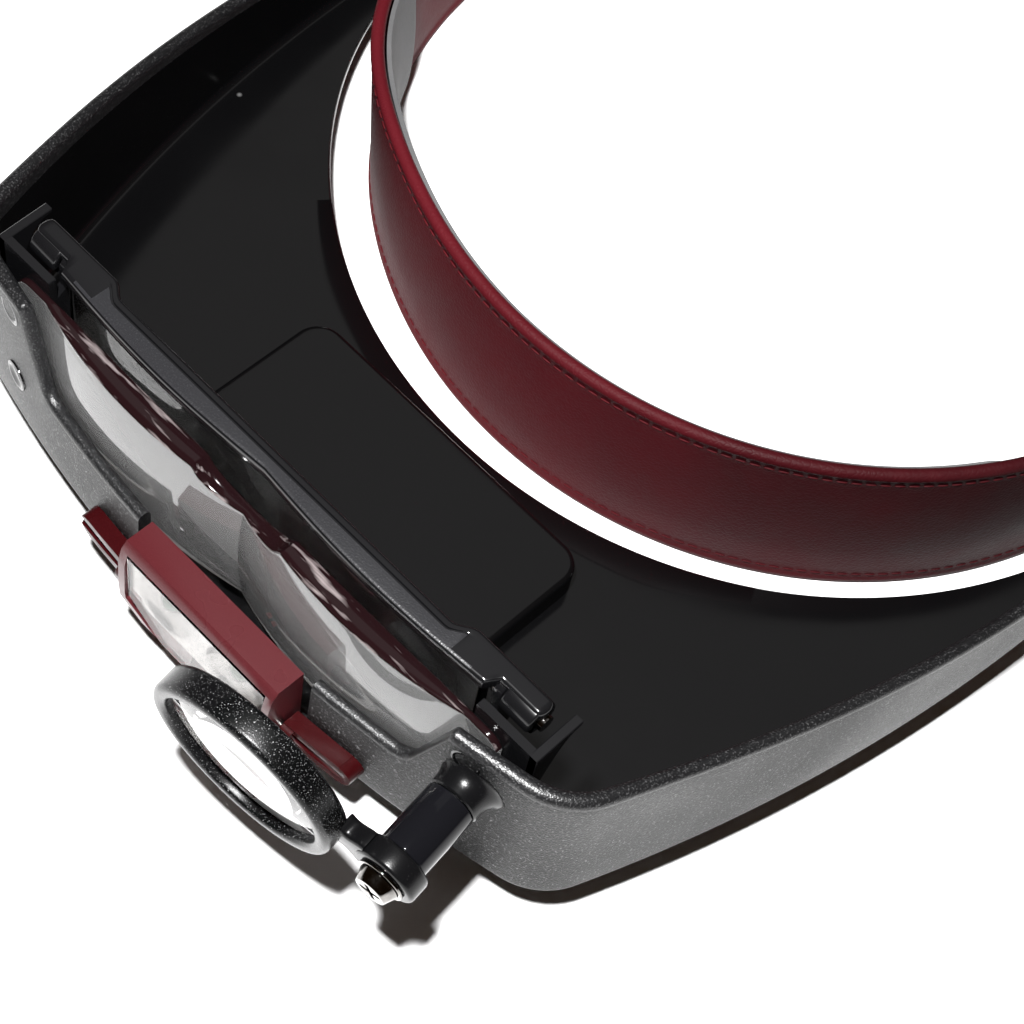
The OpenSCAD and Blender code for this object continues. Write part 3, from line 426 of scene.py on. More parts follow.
# %% Helpers for finishes
def shader(name, **plain):
    """A material with one Principled shader; plain values go on its own sockets."""
    material = bpy.data.materials.new(name)
    material.use_nodes = True
    tree = material.node_tree
    surface = tree.nodes["Principled BSDF"]
    for label, value in plain.items():
        surface.inputs[label.replace("_", " ")].default_value = value
    return material, tree, surface


def masks(tree, group, **values):
    """The outputs of one of the groups above, used in a material with the given values."""
    return add(tree, "ShaderNodeGroup", {"node_tree": group}, **values).outputs


def tint(tree, surface, fac, low, high, start=0.0, stop=1.0):
    """The base colour goes from low to high while a mask goes from start to stop."""
    node = add(tree, "ShaderNodeValToRGB", Fac=fac)
    for element, colour, position in zip(node.color_ramp.elements, (low, high), (start, stop)):
        element.color = (*colour, 1.0)
        element.position = position
    tree.links.new(node.outputs["Color"], surface.inputs["Base Color"])


def dull(tree, surface, fac, low, high, start=0.0, stop=1.0):
    """The roughness goes from low to high while a mask goes from start to stop."""
    tree.links.new(spread(tree, fac, low, high, start, stop), surface.inputs["Roughness"])


def bump(tree, surface, height, strength, distance):
    """Small relief from a height mask; the distance is in metres."""
    node = add(tree, "ShaderNodeBump", Strength=strength, Distance=distance, Height=height)
    tree.links.new(node.outputs["Normal"], surface.inputs["Normal"])

# %% Textured plastic
def textured_plastic(name, low, high, rough=(0.38, 0.55), scale=1500.0, depth=0.00018,
                     strength=0.55, gloss=0.45, sparsity=0.55):
    """Spark-textured plastic over a dark body, rubbed a little smoother in places. Its highest grains carry
    painted glints: the Glint mask lifts their base colour from low to high.
    """
    material, tree, surface = shader(name, Specular_IOR_Level=gloss)
    spark = masks(tree, SPARK, Scale=scale, Sparsity=sparsity)
    # Painted glints: the highest grains get the light colour high, standing for sparkles of the flash.
    tint(tree, surface, spark["Glint"], low, high)
    dull(tree, surface, masks(tree, MARKS)["Smears"], *rough)
    bump(tree, surface, spark["Height"], strength, depth)
    return material


# The second colour of each finish is the colour of its painted glints.
VISOR_OUT = textured_plastic(
    "visor_textured_black", (0.003, 0.003, 0.0033), (0.24, 0.24, 0.242),
    scale=2800.0, depth=0.00016, strength=0.85, gloss=0.2, sparsity=0.58)
RIM = textured_plastic(
    "visor_rim_black", (0.005, 0.005, 0.0055), (0.07, 0.07, 0.071),
    rough=(0.30, 0.42), scale=3400.0, depth=0.00008, strength=0.7, gloss=0.5)
STRIP = textured_plastic(
    "strip_black", (0.013, 0.013, 0.0145), (0.024, 0.024, 0.026),
    rough=(0.25, 0.38), scale=3200.0, depth=0.00006)
SATIN = textured_plastic(
    "satin_black", (0.008, 0.008, 0.009), (0.022, 0.022, 0.024),
    rough=(0.30, 0.42), scale=2600.0, depth=0.00005)
# The loupe's ring has the brightest painted glints, where its grains face the flash; the arm and hub get
# fewer and dimmer ones.
LOUPE = textured_plastic(
    "loupe_spark_black", (0.002, 0.002, 0.0022), (0.65, 0.65, 0.66),
    rough=(0.20, 0.32), scale=5200.0, depth=0.00004, strength=0.35, gloss=0.16, sparsity=0.63)
ARM = textured_plastic(
    "arm_black", (0.003, 0.003, 0.0033), (0.12, 0.12, 0.122),
    rough=(0.2, 0.3), scale=5200.0, depth=0.00004, strength=0.3, gloss=0.18, sparsity=0.7)
RED = textured_plastic(
    "lamp_red", (0.050, 0.0075, 0.0095), (0.085, 0.020, 0.024),
    rough=(0.22, 0.34), scale=6500.0, depth=0.00002, strength=0.3, gloss=0.4)
# The lamp brackets are the lamp's red plastic in a darker copy: the difference is painted shade, as they lie
# in shadow.
RED_PAINTED_SHADE = textured_plastic(
    "wing_red_painted_shade", (0.020, 0.0015, 0.002), (0.04, 0.004, 0.005),
    rough=(0.20, 0.32), scale=6500.0, depth=0.00002, strength=0.3, gloss=0.12)
print("textured:", [m.name for m in (VISOR_OUT, RIM, STRIP, SATIN, LOUPE, ARM, RED, RED_PAINTED_SHADE)])

# %% Polished plastic
def polished_plastic(name, base, dust, rough=(0.10, 0.24), coat=0.0, gloss=0.5):
    """Polished moulded plastic with wiped smears in its gloss and a few specks of dust."""
    material, tree, surface = shader(name, Coat_Weight=coat, Coat_Roughness=0.06, Specular_IOR_Level=gloss)
    marks = masks(tree, MARKS)
    tint(tree, surface, marks["Specks"], base, dust)
    dull(tree, surface, marks["Smears"], *rough)
    wave = add(tree, "ShaderNodeTexNoise", Vector=object_space(tree), Scale=60.0, Detail=2.0)
    bump(tree, surface, wave.outputs["Fac"], 0.12, 0.0004)
    return material


VISOR_IN = polished_plastic("visor_polished_black", (0.0018, 0.0018, 0.0020), (0.10, 0.10, 0.10))
FITTING = polished_plastic("fitting_black", (0.004, 0.004, 0.0045), (0.10, 0.10, 0.10), rough=(0.16, 0.28))
SLEEVE = polished_plastic(
    "sleeve_black", (0.004, 0.004, 0.005), (0.06, 0.06, 0.06), rough=(0.04, 0.09), gloss=0.2)
BOARD = polished_plastic("board_mask", (0.02, 0.10, 0.04), (0.4, 0.4, 0.3), rough=(0.25, 0.4))
SWITCH = polished_plastic("switch_pale", (0.7, 0.7, 0.68), (0.8, 0.8, 0.8), rough=(0.25, 0.4))
WIRE = polished_plastic("wire_red", (0.30, 0.012, 0.012), (0.4, 0.1, 0.1), rough=(0.3, 0.45))
CELL = polished_plastic("cell_wrap", (0.10, 0.10, 0.12), (0.4, 0.4, 0.4), rough=(0.2, 0.3), coat=0.3)
WHITE = polished_plastic("bench_white", (0.93, 0.93, 0.93), (0.9, 0.9, 0.9), rough=(0.6, 0.7))
print("polished:", [m.name for m in (VISOR_IN, FITTING, SLEEVE, BOARD, SWITCH, WIRE, CELL, WHITE)])

# %% Metal
def metal(name, base, rough):
    """Plated metal: bright, with fine uneven polish."""
    material, tree, surface = shader(name, Metallic=1.0)
    polish = masks(tree, MARKS, Smear_Scale=900.0)["Smears"]
    tint(tree, surface, polish, tuple(c * 0.6 for c in base), base)
    dull(tree, surface, polish, rough, rough * 1.8)
    return material


MIRROR = metal("lamp_reflector", (0.22, 0.215, 0.21), 0.16)
STEEL = metal("polished_steel", (0.27, 0.26, 0.25), 0.08)
BRASS = metal("contact_plate", (0.78, 0.70, 0.50), 0.2)
print("metal:", [m.name for m in (MIRROR, STEEL, BRASS)])

# %% Clear plastic
def clear_plastic(name, body, clear=1.0, ior=1.49):
    """Polished acrylic: sharp reflections, a few specks of dust. Below 1, clear leaves a pale haze on
    the face, which stands for the fine wiping scratches that a strong flash makes visible."""
    material, tree, surface = shader(name, Transmission_Weight=clear, IOR=ior)
    specks = masks(tree, MARKS, Speck_Scale=220.0)["Specks"]
    tint(tree, surface, specks, body, (0.7, 0.7, 0.7))
    dull(tree, surface, specks, 0.0, 0.3)
    return material


CLEAR = clear_plastic("lens_acrylic", (0.97, 0.975, 0.97))
HAZY = clear_plastic("lens_face", (0.93, 0.93, 0.93), clear=0.915)
LAMP_CLEAR = clear_plastic("lamp_acrylic", (0.9, 0.89, 0.88), ior=1.18)
LED = clear_plastic("led_lens", (0.95, 0.94, 0.85))
print("clear:", [m.name for m in (CLEAR, HAZY, LAMP_CLEAR, LED)])

# %% Edge of the main lens
def polished_edge(name, dark, light):
    """The polished top edge of a thick clear plate, made opaque: its dark colour is a painted view into the
    plate's dark inside, and its broken pale streaks are painted glints. The noise is stretched along X to
    draw them."""
    material, tree, surface = shader(name, Roughness=0.08, Specular_IOR_Level=0.5)
    long = add(tree, "ShaderNodeMapping", Vector=object_space(tree), Scale=(90.0, 700.0, 700.0)).outputs[0]
    painted_glint_streaks = add(tree, "ShaderNodeTexNoise", Vector=long, Scale=1.0, Detail=3.0, Roughness=0.55)
    tint(tree, surface, painted_glint_streaks.outputs["Fac"], dark, light, 0.57, 0.72)
    return material


EDGE = polished_edge("lens_edge", (0.007, 0.0025, 0.003), (0.20, 0.17, 0.17))

# %% Leatherette
def leatherette(name, dark, light, scale=1100.0, fade=None):
    """Soft leatherette: pebbled grain, dull enough to keep its colour at a low angle. Its tone changes
    slowly, and with fade it also goes from dark to light between two places on X: a painted sheen, lighter
    towards the left and middle, darker to the right."""
    material, tree, surface = shader(name, Specular_IOR_Level=0.09)
    grain = masks(tree, GRAIN, Scale=scale)
    tone = spread(tree, grain["Tone"], 0.0, 1.0, 0.3, 0.7)
    if fade:
        # Painted sheen: the base colour lightens towards the left along X.
        axes = add(tree, "ShaderNodeSeparateXYZ", Vector=object_space(tree))
        painted_sheen = spread(tree, axes.outputs["X"], 0.0, 0.75, *fade)
        tone = reckon(tree, "MULTIPLY_ADD", tone, 0.25, painted_sheen)
    tint(tree, surface, tone, dark, light)
    dull(tree, surface, grain["Tone"], 0.5, 0.65, 0.3, 0.7)
    bump(tree, surface, grain["Height"], 0.35, 0.0001)
    return material


# The band's colour carries a painted sheen, lighter towards the left: it fades between these two places on X,
# in metres.
SHEEN_SPAN = (0.085, -0.03)
BAND = leatherette("band_leatherette", (0.007, 0.0006, 0.0010), (0.075, 0.0050, 0.0085), fade=SHEEN_SPAN)
THREAD = leatherette("band_thread", (0.016, 0.001, 0.002), (0.08, 0.006, 0.009), scale=3000.0, fade=SHEEN_SPAN)
LINING = leatherette("band_lining_cloth", (0.07, 0.07, 0.073), (0.12, 0.12, 0.12), scale=1600.0)
print("leather and cloth:", [m.name for m in (BAND, THREAD, LINING)])

# %% Dressing a piece
def dress(piece, *materials):
    """Gives a piece its materials. Clearing the list would also forget which face has which one."""
    if len(materials) == 1:
        piece.data.materials.clear()
    for material in materials:
        piece.data.materials.append(material)
    return piece


def tell(*pieces):
    """Prints each piece's name, its number of faces and its size along X, Y and Z in millimetres."""
    for piece in pieces:
        corners = np.empty(len(piece.data.vertices) * 3)
        piece.data.vertices.foreach_get("co", corners)
        size = np.ptp(corners.reshape(-1, 3), axis=0) / MM
        print(piece.name, len(piece.data.polygons), "faces,", size.round(1).tolist(), "mm")


tell(dress(floor, WHITE))

# %% [markdown]
# ## Visor
#
# The visor is one thin moulding: a flat brim and a wall around its front and sides. It could be
# cut from blocks, but then every edge would need its own rounding. Here it is one closed skin
# instead: a cross-section of brim, wall and rounded rim, carried along the visor's outline. The
# outline is three tangent arcs on each side, so its normal turns smoothly, and the height of the
# rim is a function of the place along it: a sloping line, with the window and the lamp's gap cut in.

# %% Visor outline
VISOR_W = 181.0
FRONT = 39.5
REAR = 103.0
SIDE_R, FRONT_R, CORNER_R = 315.0, 255.0, 13.0
SIDE_CX, SIDE_CY = SIDE_R - VISOR_W / 2, 88.0
FRONT_CY = FRONT_R - FRONT
CROWN_Z, BRIM_Z = 7.8, 10.0
WALL, CROWN_EDGE, TUB_R = 2.4, 3.6, 1.5
RIM_H, RIM_Y, RIM_TILT = 43.7, -29.5, math.radians(11.0)
LIP_H, WINDOW_HALF, WINDOW_TOP_HALF, WINDOW_R = 27.8, 43.0, 49.0, 4.0
LAMP_X, LAMP_GAP_HALF, LAMP_GAP_Z = 4.0, 19.5, 12.0
HEAD_R, HEAD_Y = 87.0, 106.2


def corner_centre():
    """The corner arc's centre lies on both arcs once they are moved in by the corner's radius."""
    a, b = np.array([-SIDE_CX, SIDE_CY]), np.array([0.0, FRONT_CY])
    ra, rb = SIDE_R - CORNER_R, FRONT_R - CORNER_R
    gap = np.linalg.norm(b - a)
    unit = (b - a) / gap
    along = (ra**2 - rb**2 + gap**2) / (2 * gap)
    across = math.sqrt(ra**2 - along**2)
    return a + along * unit + across * np.array([unit[1], -unit[0]])


CORNER = corner_centre()
A_FRONT = math.atan2(CORNER[1] - FRONT_CY, CORNER[0])
A_SIDE = math.atan2(CORNER[1] - SIDE_CY, CORNER[0] + SIDE_CX)
A_REAR = math.asin((REAR - SIDE_CY) / SIDE_R)
L_FRONT = FRONT_R * (A_FRONT + math.pi / 2)
L_CORNER = CORNER_R * (A_SIDE - A_FRONT)
L_SIDE = SIDE_R * (A_REAR - A_SIDE)
L_HALF = L_FRONT + L_CORNER + L_SIDE


def outline(s):
    """Point and outward normal at arc length s from the front's middle; negative s is the left side."""
    t = np.abs(s)
    side = np.sign(s + 1e-9)
    arcs = [t <= L_FRONT, t <= L_FRONT + L_CORNER]
    angle = np.select(arcs, [-np.pi / 2 + t / FRONT_R, A_FRONT + (t - L_FRONT) / CORNER_R],
                      A_SIDE + (t - L_FRONT - L_CORNER) / SIDE_R)
    radius = np.select(arcs, [FRONT_R, CORNER_R], SIDE_R)
    cx = np.select(arcs, [0.0, CORNER[0]], -SIDE_CX)
    cy = np.select(arcs, [FRONT_CY, CORNER[1]], SIDE_CY)
    normal = np.stack([np.cos(angle) * side, np.sin(angle)], axis=-1)
    point = np.stack([(cx + radius * np.cos(angle)) * side, cy + radius * np.sin(angle)], axis=-1)
    return point, normal


def rim_height(point, s):
    """Height of the rim: a sloping line, cut by the lamp's gap and by the window, whose lower corners
    are round."""
    x, y = np.abs(point[:, 0]), point[:, 1]
    line = RIM_H - math.tan(RIM_TILT) * (y - RIM_Y)
    lean = math.atan2(RIM_H - LIP_H, WINDOW_TOP_HALF - WINDOW_HALF)
    cx = WINDOW_HALF - WINDOW_R
    x_arc = cx + WINDOW_R * math.sin(lean)
    across = np.clip(x - cx, 0, WINDOW_R)
    round_z = LIP_H + WINDOW_R - np.sqrt(WINDOW_R**2 - across**2)
    z_arc = LIP_H + WINDOW_R * (1 - math.cos(lean))
    slope = z_arc + (x - x_arc) * math.tan(lean)
    window = np.where(x < cx, LIP_H, np.where(x < x_arc, round_z, slope))
    window = np.where(np.abs(s) > L_FRONT, np.inf, window)
    height = np.minimum(line, window)
    gap = np.abs(point[:, 0] - LAMP_X) < LAMP_GAP_HALF
    return np.where(gap, LAMP_GAP_Z, height)


print("visor outline half length", round(L_HALF, 1), "mm; corner centre", CORNER.round(1))

# %% Places along the outline
def visor_columns():
    """Places along the outline: even steps, closer in the corners and at the window's jambs, and
    doubled at the lamp's gap."""
    even = np.linspace(-L_HALF, L_HALF, 331)
    jamb = np.linspace(WINDOW_HALF - WINDOW_R - 1, WINDOW_TOP_HALF + 1.5, 36)
    corner = np.linspace(L_FRONT - 3, L_FRONT + L_CORNER + 3, 26)
    shifts = (-0.35, -0.02, 0.02, 0.35)
    ends = [LAMP_X + side * LAMP_GAP_HALF + shift for side in (-1, 1) for shift in shifts]
    places = np.concatenate([even, jamb, -jamb, corner, -corner, ends])
    places = np.unique(places.round(3))
    keep = np.concatenate([[True], np.diff(places) > 0.03])
    return places[keep]


print("places along the outline:", len(visor_columns()))

# %% Visor skin
BRIM_EDGE = 0.7
POST_S, POST_SPREAD, POST_BULGE = 64.0, 16.0, 0.7
OUTSIDE, INSIDE, ON_RIM = 0, 1, 2


def raised(xy, z):
    """Points in X and Y with one height for all, or a height for each."""
    return np.column_stack([xy, np.broadcast_to(z, len(xy))])


def visor_skin():
    """Cross-section rows, from the brim's edge under the crown face, up the wall, over the rim and
    back inside. Each row says which of the three finishes follows it."""
    s = visor_columns()
    point, normal = outline(s)
    rim = rim_height(point, s)
    post = POST_BULGE * np.exp(-(((np.abs(s) - POST_S) / POST_SPREAD) ** 2))
    top = WALL + post
    rows, bands = [], []

    def wall_row(inset, z, band):
        """The whole outline, moved in from the outer face by inset."""
        rows.append(raised(point - normal * np.broadcast_to(inset, len(s))[:, None], z))
        bands.append(band)

    def brim_row(share, z, foot, band):
        """Part of the way from the wall's foot to the round edge that goes round the head."""
        start = point - normal * foot
        centre = np.array([0.0, HEAD_Y])
        away = start - centre
        distance = np.linalg.norm(away, axis=1)
        radius = np.minimum(HEAD_R, distance - 0.15)
        edge = centre + away / distance[:, None] * radius[:, None]
        rows.append(raised(start + (edge - start) * share, z))
        bands.append(band)

    shares = (1.0, 0.985, 0.9, 0.6, 0.3, 0.05)
    for share in shares:
        brim_row(share, CROWN_Z + (BRIM_EDGE if share == 1.0 else 0.0), CROWN_EDGE, OUTSIDE)
    for a in np.radians(np.arange(0, 91, 11.25)):
        wall_row(CROWN_EDGE * (1 - math.sin(a)), CROWN_Z + CROWN_EDGE * (1 - math.cos(a)), OUTSIDE)
    low = CROWN_Z + CROWN_EDGE
    high = np.maximum(rim - top / 2, low + 0.2)
    for f in (0.25, 0.5, 0.75, 0.9):
        wall_row(-post * f**4, low + (high - low) * f, OUTSIDE)
    for a in np.radians(np.arange(0, 181, 18)):
        z = high + np.minimum(top / 2, rim - high) * math.sin(a)
        wall_row(top / 2 * (1 - math.cos(a)) - post, z, ON_RIM)
    inner_low = BRIM_Z + TUB_R
    for f in (0.9, 0.7, 0.45, 0.2, 0.0):
        wall_row(WALL, np.maximum(inner_low + (high - inner_low) * f, BRIM_Z + 0.1), INSIDE)
    for a in np.radians(np.arange(67.5, -1, -22.5)):
        wall_row(WALL + TUB_R * (1 - math.sin(a)), BRIM_Z + TUB_R * (1 - math.cos(a)), INSIDE)
    for share in shares[::-1]:
        brim_row(share, BRIM_Z - (BRIM_EDGE if share == 1.0 else 0.0), WALL + TUB_R, INSIDE)
    skin = grid_mesh("visor_skin", np.array(rows), loop_v=True, sharp=50.0, bands=bands)
    edited(skin.data, close_ends)
    return skin


def close_ends(work):
    """Fills the open loops at the two rear ends of the skin."""
    bmesh.ops.holes_fill(work, edges=[e for e in work.edges if e.is_boundary], sides=0)
    bmesh.ops.recalc_face_normals(work, faces=work.faces)


visor = dress(visor_skin(), VISOR_OUT, VISOR_IN, RIM)
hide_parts("visor_shell")
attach(visor, "visor")
tell(visor)

# %% [markdown]
# ## Screw pockets
#
# The lens screws end in small round pockets on the outer wall. Cutting them would break the skin's even grid,
# so each is a lathed bead with a dark disc, set into the wall along its normal; the shallow disc's polished
# black is painted shade for the depth of the pocket.

# %% Screw pockets
POCKET_X, POCKET_Z = (-51.5, 51.5), (22.0, 40.2)
POCKET = [(0.0, 0.05), (1.7, 0.05), (2.1, 0.32), (2.4, 0.36), (2.7, 0.25), (2.8, -0.3), (0.0, -0.3)]


def screw_pocket(x, z):
    """A round bead with a dark polished disc in it, on the outer wall where a lens screw ends; the shallow
    disc's black is painted shade for the pocket's depth.
    """
    y = FRONT_CY - math.sqrt(FRONT_R**2 - x**2)
    at = basis((x, y, z), (x / FRONT_R, (y - FRONT_CY) / FRONT_R, 0.0))
    return lathe("screw_pocket", POCKET, at, steps=48)


pockets = dress(join("screw_pockets", [screw_pocket(x, z) for x in POCKET_X for z in POCKET_Z]), VISOR_IN)
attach(pockets, "visor")
tell(pockets)

# %% [markdown]
# ## Battery compartment
#
# The compartment is a rounded box that goes through the brim. Inside the visor it shows as a low
# pad with a soft edge; on the crown side it is open for the sliding lid. It is a cup: rings up the
# inner wall, out over its rim, up the outer wall and across the top.

# %% Battery compartment
BOX_L, BOX_W, BOX_R, BOX_H, BOX_WALL, BOX_ROOF, BOX_EDGE = 65.0, 31.0, 5.0, 15.0, 2.2, 1.6, 1.0
LID_TOP = 2.15


def rounded_rectangle(length, width, radius, inset, steps=10):
    """Outline of a rectangle with round corners, moved in by inset, which doesn't change the count."""
    r = max(radius - inset, 0.05)
    x, y = length / 2 - inset - r, width / 2 - inset - r
    points = []
    for sx, sy, start in ((1, 1, 0), (-1, 1, 90), (-1, -1, 180), (1, -1, 270)):
        points += arc(sx * x, sy * y, r, start, start + 90, steps + 1)
    return np.array(points)


def battery_box():
    """Rings at (inset, height). The lid leaves through the end towards +X, so the rim is raised there."""
    levels = [(BOX_WALL, BOX_H - BOX_ROOF), (BOX_WALL, 6.0), (BOX_WALL, 0.3), (BOX_WALL - 0.3, 0.0)]
    levels += [(0.3, 0.0), (0.0, 0.3), (0.0, 8.0)]
    levels += [(BOX_EDGE - x, z) for x, z in arc(0.0, BOX_H - BOX_EDGE, BOX_EDGE, 0, 90, 7)]
    levels += [(2.5, BOX_H + 0.02), (8.0, BOX_H + 0.05)]
    rows = []
    for inset, z in levels:
        ring = rounded_rectangle(BOX_L, BOX_W, BOX_R, inset)
        x, y = ring[:, 0], np.abs(ring[:, 1])
        way_out = (x > BOX_L / 2 - BOX_WALL - 1.2) & (y < BOX_W / 2 - BOX_WALL + 1.3)
        rows.append(raised(ring, np.where(way_out & (z < 2), LID_TOP, z)))
    return grid_mesh("battery_box", np.array(rows), loop_u=True, caps=True, sharp=50.0)


box_piece = dress(battery_box(), VISOR_IN)
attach(box_piece, "visor")
tell(box_piece)

# %% [markdown]
# ## Switch bezel and temple ears
#
# Both are small mouldings on the visor. The bezel has square corners, so four points a ring are
# enough. The ears are round about the temple pivots, so a profile is turned about each of them.

# %% Switch bezel
BEZEL = [(6.2, 4.2, 8.2), (6.2, 4.2, 6.2), (5.8, 3.8, 5.8), (4.9, 2.9, 5.8), (4.6, 2.6, 6.1), (4.6, 2.6, 8.2)]
SWITCH_Y = -24.0


def switch_bezel():
    """A low frame on the crown side, round the switch's slot: rings of (half X, half Y, height), up,
    over and down inside."""
    rows = [[(LAMP_X + sx * x, SWITCH_Y + sy * y, z) for sx, sy in ((-1, -1), (1, -1), (1, 1), (-1, 1))]
            for x, y, z in BEZEL]
    return grid_mesh("switch_bezel", np.array(rows), loop_u=True, loop_v=True, sharp=30.0)


bezel = dress(switch_bezel(), VISOR_OUT)
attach(bezel, "visor")
tell(bezel)

# %% Temple ears
PIVOT_Y, PIVOT_Z, PIVOT_D, EAR_D, EAR_T = 96.5, 18.0, 6.0, 17.0, 3.0


def temple_ear(side):
    """A flat disc with a bore round the temple pivot, its edges rounded."""
    x_out = side * (VISOR_W / 2 - 0.1)
    at = basis((x_out, PIVOT_Y, PIVOT_Z), (-side, 0, 0), (0, 1, 0))
    return lathe("temple_ear", rounded_profile(PIVOT_D / 2 + 0.05, EAR_D / 2, 0.0, EAR_T, 0.6), at)


ears = dress(join("temple_ears", [temple_ear(1), temple_ear(-1)]), VISOR_OUT)
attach(ears, "visor")
tell(ears)

# %% [markdown]
# ## Lenses
#
# Both lenses are clear moulded plates with two slightly domed eyes and rounded edges. A plate is
# two grids over the same outline, front and back, that meet at the edge. The thickness falls to
# nothing there along an ellipse, which gives the bright, curved rim that such plates have.

# %% Lens plates
LENS_REAR, LENS_T, LENS_EDGE_T = -29.6, 5.6, 1.3
EYE_X, EYE_Z, EYE_R, EYE_REACH = 23.0, 30.0, 90.0, 23.0
HOLLOW, BULGE = 0.33, 0.5
NOTCH, MAIN_CORNER, INNER_CORNER = 3.0, 3.0, 4.0
PLATE_H = 28.0


def spread_out(low, high, count, fine):
    """Numbers from low to high, closer towards both ends, where a plate's edge turns over."""
    length = high - low
    close = np.linspace(0, fine, 7)
    steps = np.concatenate([close, np.linspace(fine, length - fine, count), length - close])
    return low + np.unique(steps.round(4))


def notch_dip(x, depth):
    """A round nose notch in the middle of an edge: half an ellipse, wider than deep."""
    return depth * np.sqrt(np.clip(1 - (x / (3.2 * depth)) ** 2, 0, 1))


def corner_drop(x, half, r):
    """How far a round corner of radius r pulls an edge in near the plate's ends."""
    t = np.clip(np.abs(x) - (half - r), 0, r)
    return r - np.sqrt(r**2 - t**2)


def plate_mesh(name, half, z_low, z_high, y_front, y_rear, edge):
    """Two grids over one outline, front and rear. Near the outline both draw in along a quarter circle."""
    x = spread_out(-half, half, 161, edge)
    rise = spread_out(0.0, PLATE_H, 61, edge) / PLATE_H
    x, rise = np.meshgrid(x, rise, indexing="ij")
    low, high = z_low(x), z_high(x)
    z = low + (high - low) * rise
    near = np.minimum(half - np.abs(x), np.minimum(z - low, high - z))
    draw = edge - np.sqrt(np.clip(edge**2 - (edge - np.clip(near, 0, edge)) ** 2, 0, None))
    front = np.stack([x, y_front(x, z) + draw, z], axis=-1)
    rear = np.stack([x, y_rear(x, z) - draw, z], axis=-1)
    grid = np.concatenate([front, rear[:, ::-1]], axis=1)
    return grid_mesh(name, grid, loop_u=True, caps=True, sharp=25.0)

# %% Main lens
def eye_distance(x, z):
    """How far a place on a plate is from the middle of the nearer eye."""
    return np.minimum(np.hypot(x - EYE_X, z - EYE_Z), np.hypot(x + EYE_X, z - EYE_Z))


def eye_bowl(x, z):
    """1 in the middle of each eye, falling to 0 at its edge. The main plate's rear is hollow by a
    part of a millimetre times this, and the inner plate's front bulges."""
    return np.clip(1 - (eye_distance(x, z) / EYE_REACH) ** 2, 0, 1)


def eyes_front(x, z):
    """Front of the main lens: two spheres, one for each eye, that rise out of a thin flat flange."""
    dome = LENS_T - (EYE_R - np.sqrt(EYE_R**2 - eye_distance(x, z) ** 2))
    return LENS_REAR - np.maximum(dome, LENS_EDGE_T)


main_low, main_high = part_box("main_lens")
MAIN_HALF, MAIN_Z0, MAIN_Z1 = main_high.x / MM, main_low.z / MM, main_high.z / MM
main_plate = dress(plate_mesh(
    "main_lens_plate", MAIN_HALF,
    z_low=lambda x: MAIN_Z0 + 0 * x,
    z_high=lambda x: MAIN_Z1 - notch_dip(x, NOTCH) - corner_drop(x, MAIN_HALF, MAIN_CORNER),
    y_front=eyes_front,
    y_rear=lambda x, z: LENS_REAR - HOLLOW * eye_bowl(x, z),
    edge=0.45), HAZY, EDGE)
main_normals = np.array([face.normal[:] for face in main_plate.data.polygons])
# Faces that face up get the edge finish, with its painted dark inside and painted glints.
main_plate.data.polygons.foreach_set("material_index", (main_normals[:, 2] > 0.35).astype(np.int32))
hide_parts("main_lens")
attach(main_plate, "visor")
tell(main_plate)

# %% Inner lens
inner_low, inner_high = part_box("inner_lens_plate")
INNER_HALF, INNER_Z0, INNER_Z1 = inner_high.x / MM, inner_low.z / MM, inner_high.z / MM
INNER_FRONT, INNER_REAR = inner_low.y / MM, inner_high.y / MM
inner_plate = dress(plate_mesh(
    "inner_lens_finish", INNER_HALF,
    z_low=lambda x: INNER_Z0 + notch_dip(x, NOTCH) + corner_drop(x, INNER_HALF, INNER_CORNER),
    z_high=lambda x: INNER_Z1 + 0 * x,
    y_front=lambda x, z: INNER_FRONT - BULGE * eye_bowl(x, z),
    y_rear=lambda x, z: INNER_REAR + 0 * x,
    edge=0.4), CLEAR)
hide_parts("inner_lens_plate")
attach(inner_plate, "inner_lens")
tell(inner_plate)

# %% [markdown]
# ## Inner lens bar
#
# The bar that holds the inner lens is a moulded strip: straight at the back, with two shallow
# waves in front that follow the eyes, a fine groove on top and ears that step back at both ends,
# so that the round hooks on the hinge pins show in front of them. It is a rounded rectangle
# carried along X, whose front and back change on the way.

# %% Inner lens bar
HINGE_Y, HINGE_Z = -24.2, 46.5
BAR_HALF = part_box("inner_lens_frame")[1].x / MM
BAR_FRONT, BAR_REAR = HINGE_Y - 3.6, HINGE_Y + 0.2
BAR_LOW, BAR_TOP = HINGE_Z + 0.5, HINGE_Z + 3.2
BAR_R, TIP, GROOVE = 0.8, 1.2, 0.35
WAVE, WAVE_END = 1.2, BAR_HALF - 10
EAR_FRONT_X, EAR_FRONT_BACK = BAR_HALF - 9.5, 2.3
EAR_REAR_X, EAR_REAR_BACK = BAR_HALF - 19.5, 2.0
GLOSS_X, GLOSS_Y = BAR_HALF - 12, BAR_REAR - 1.8
HOOK_X0, HOOK_X1, HOOK_IN, HOOK_OUT = 49.5, 55.5, 1.48, 3.0
HOOK_OPEN, HOOK_SHUT = -126, 186


def smooth_step(t):
    """0 below 0, 1 above 1, with a soft start and stop between them."""
    t = np.clip(t, 0, 1)
    return t * t * (3 - 2 * t)


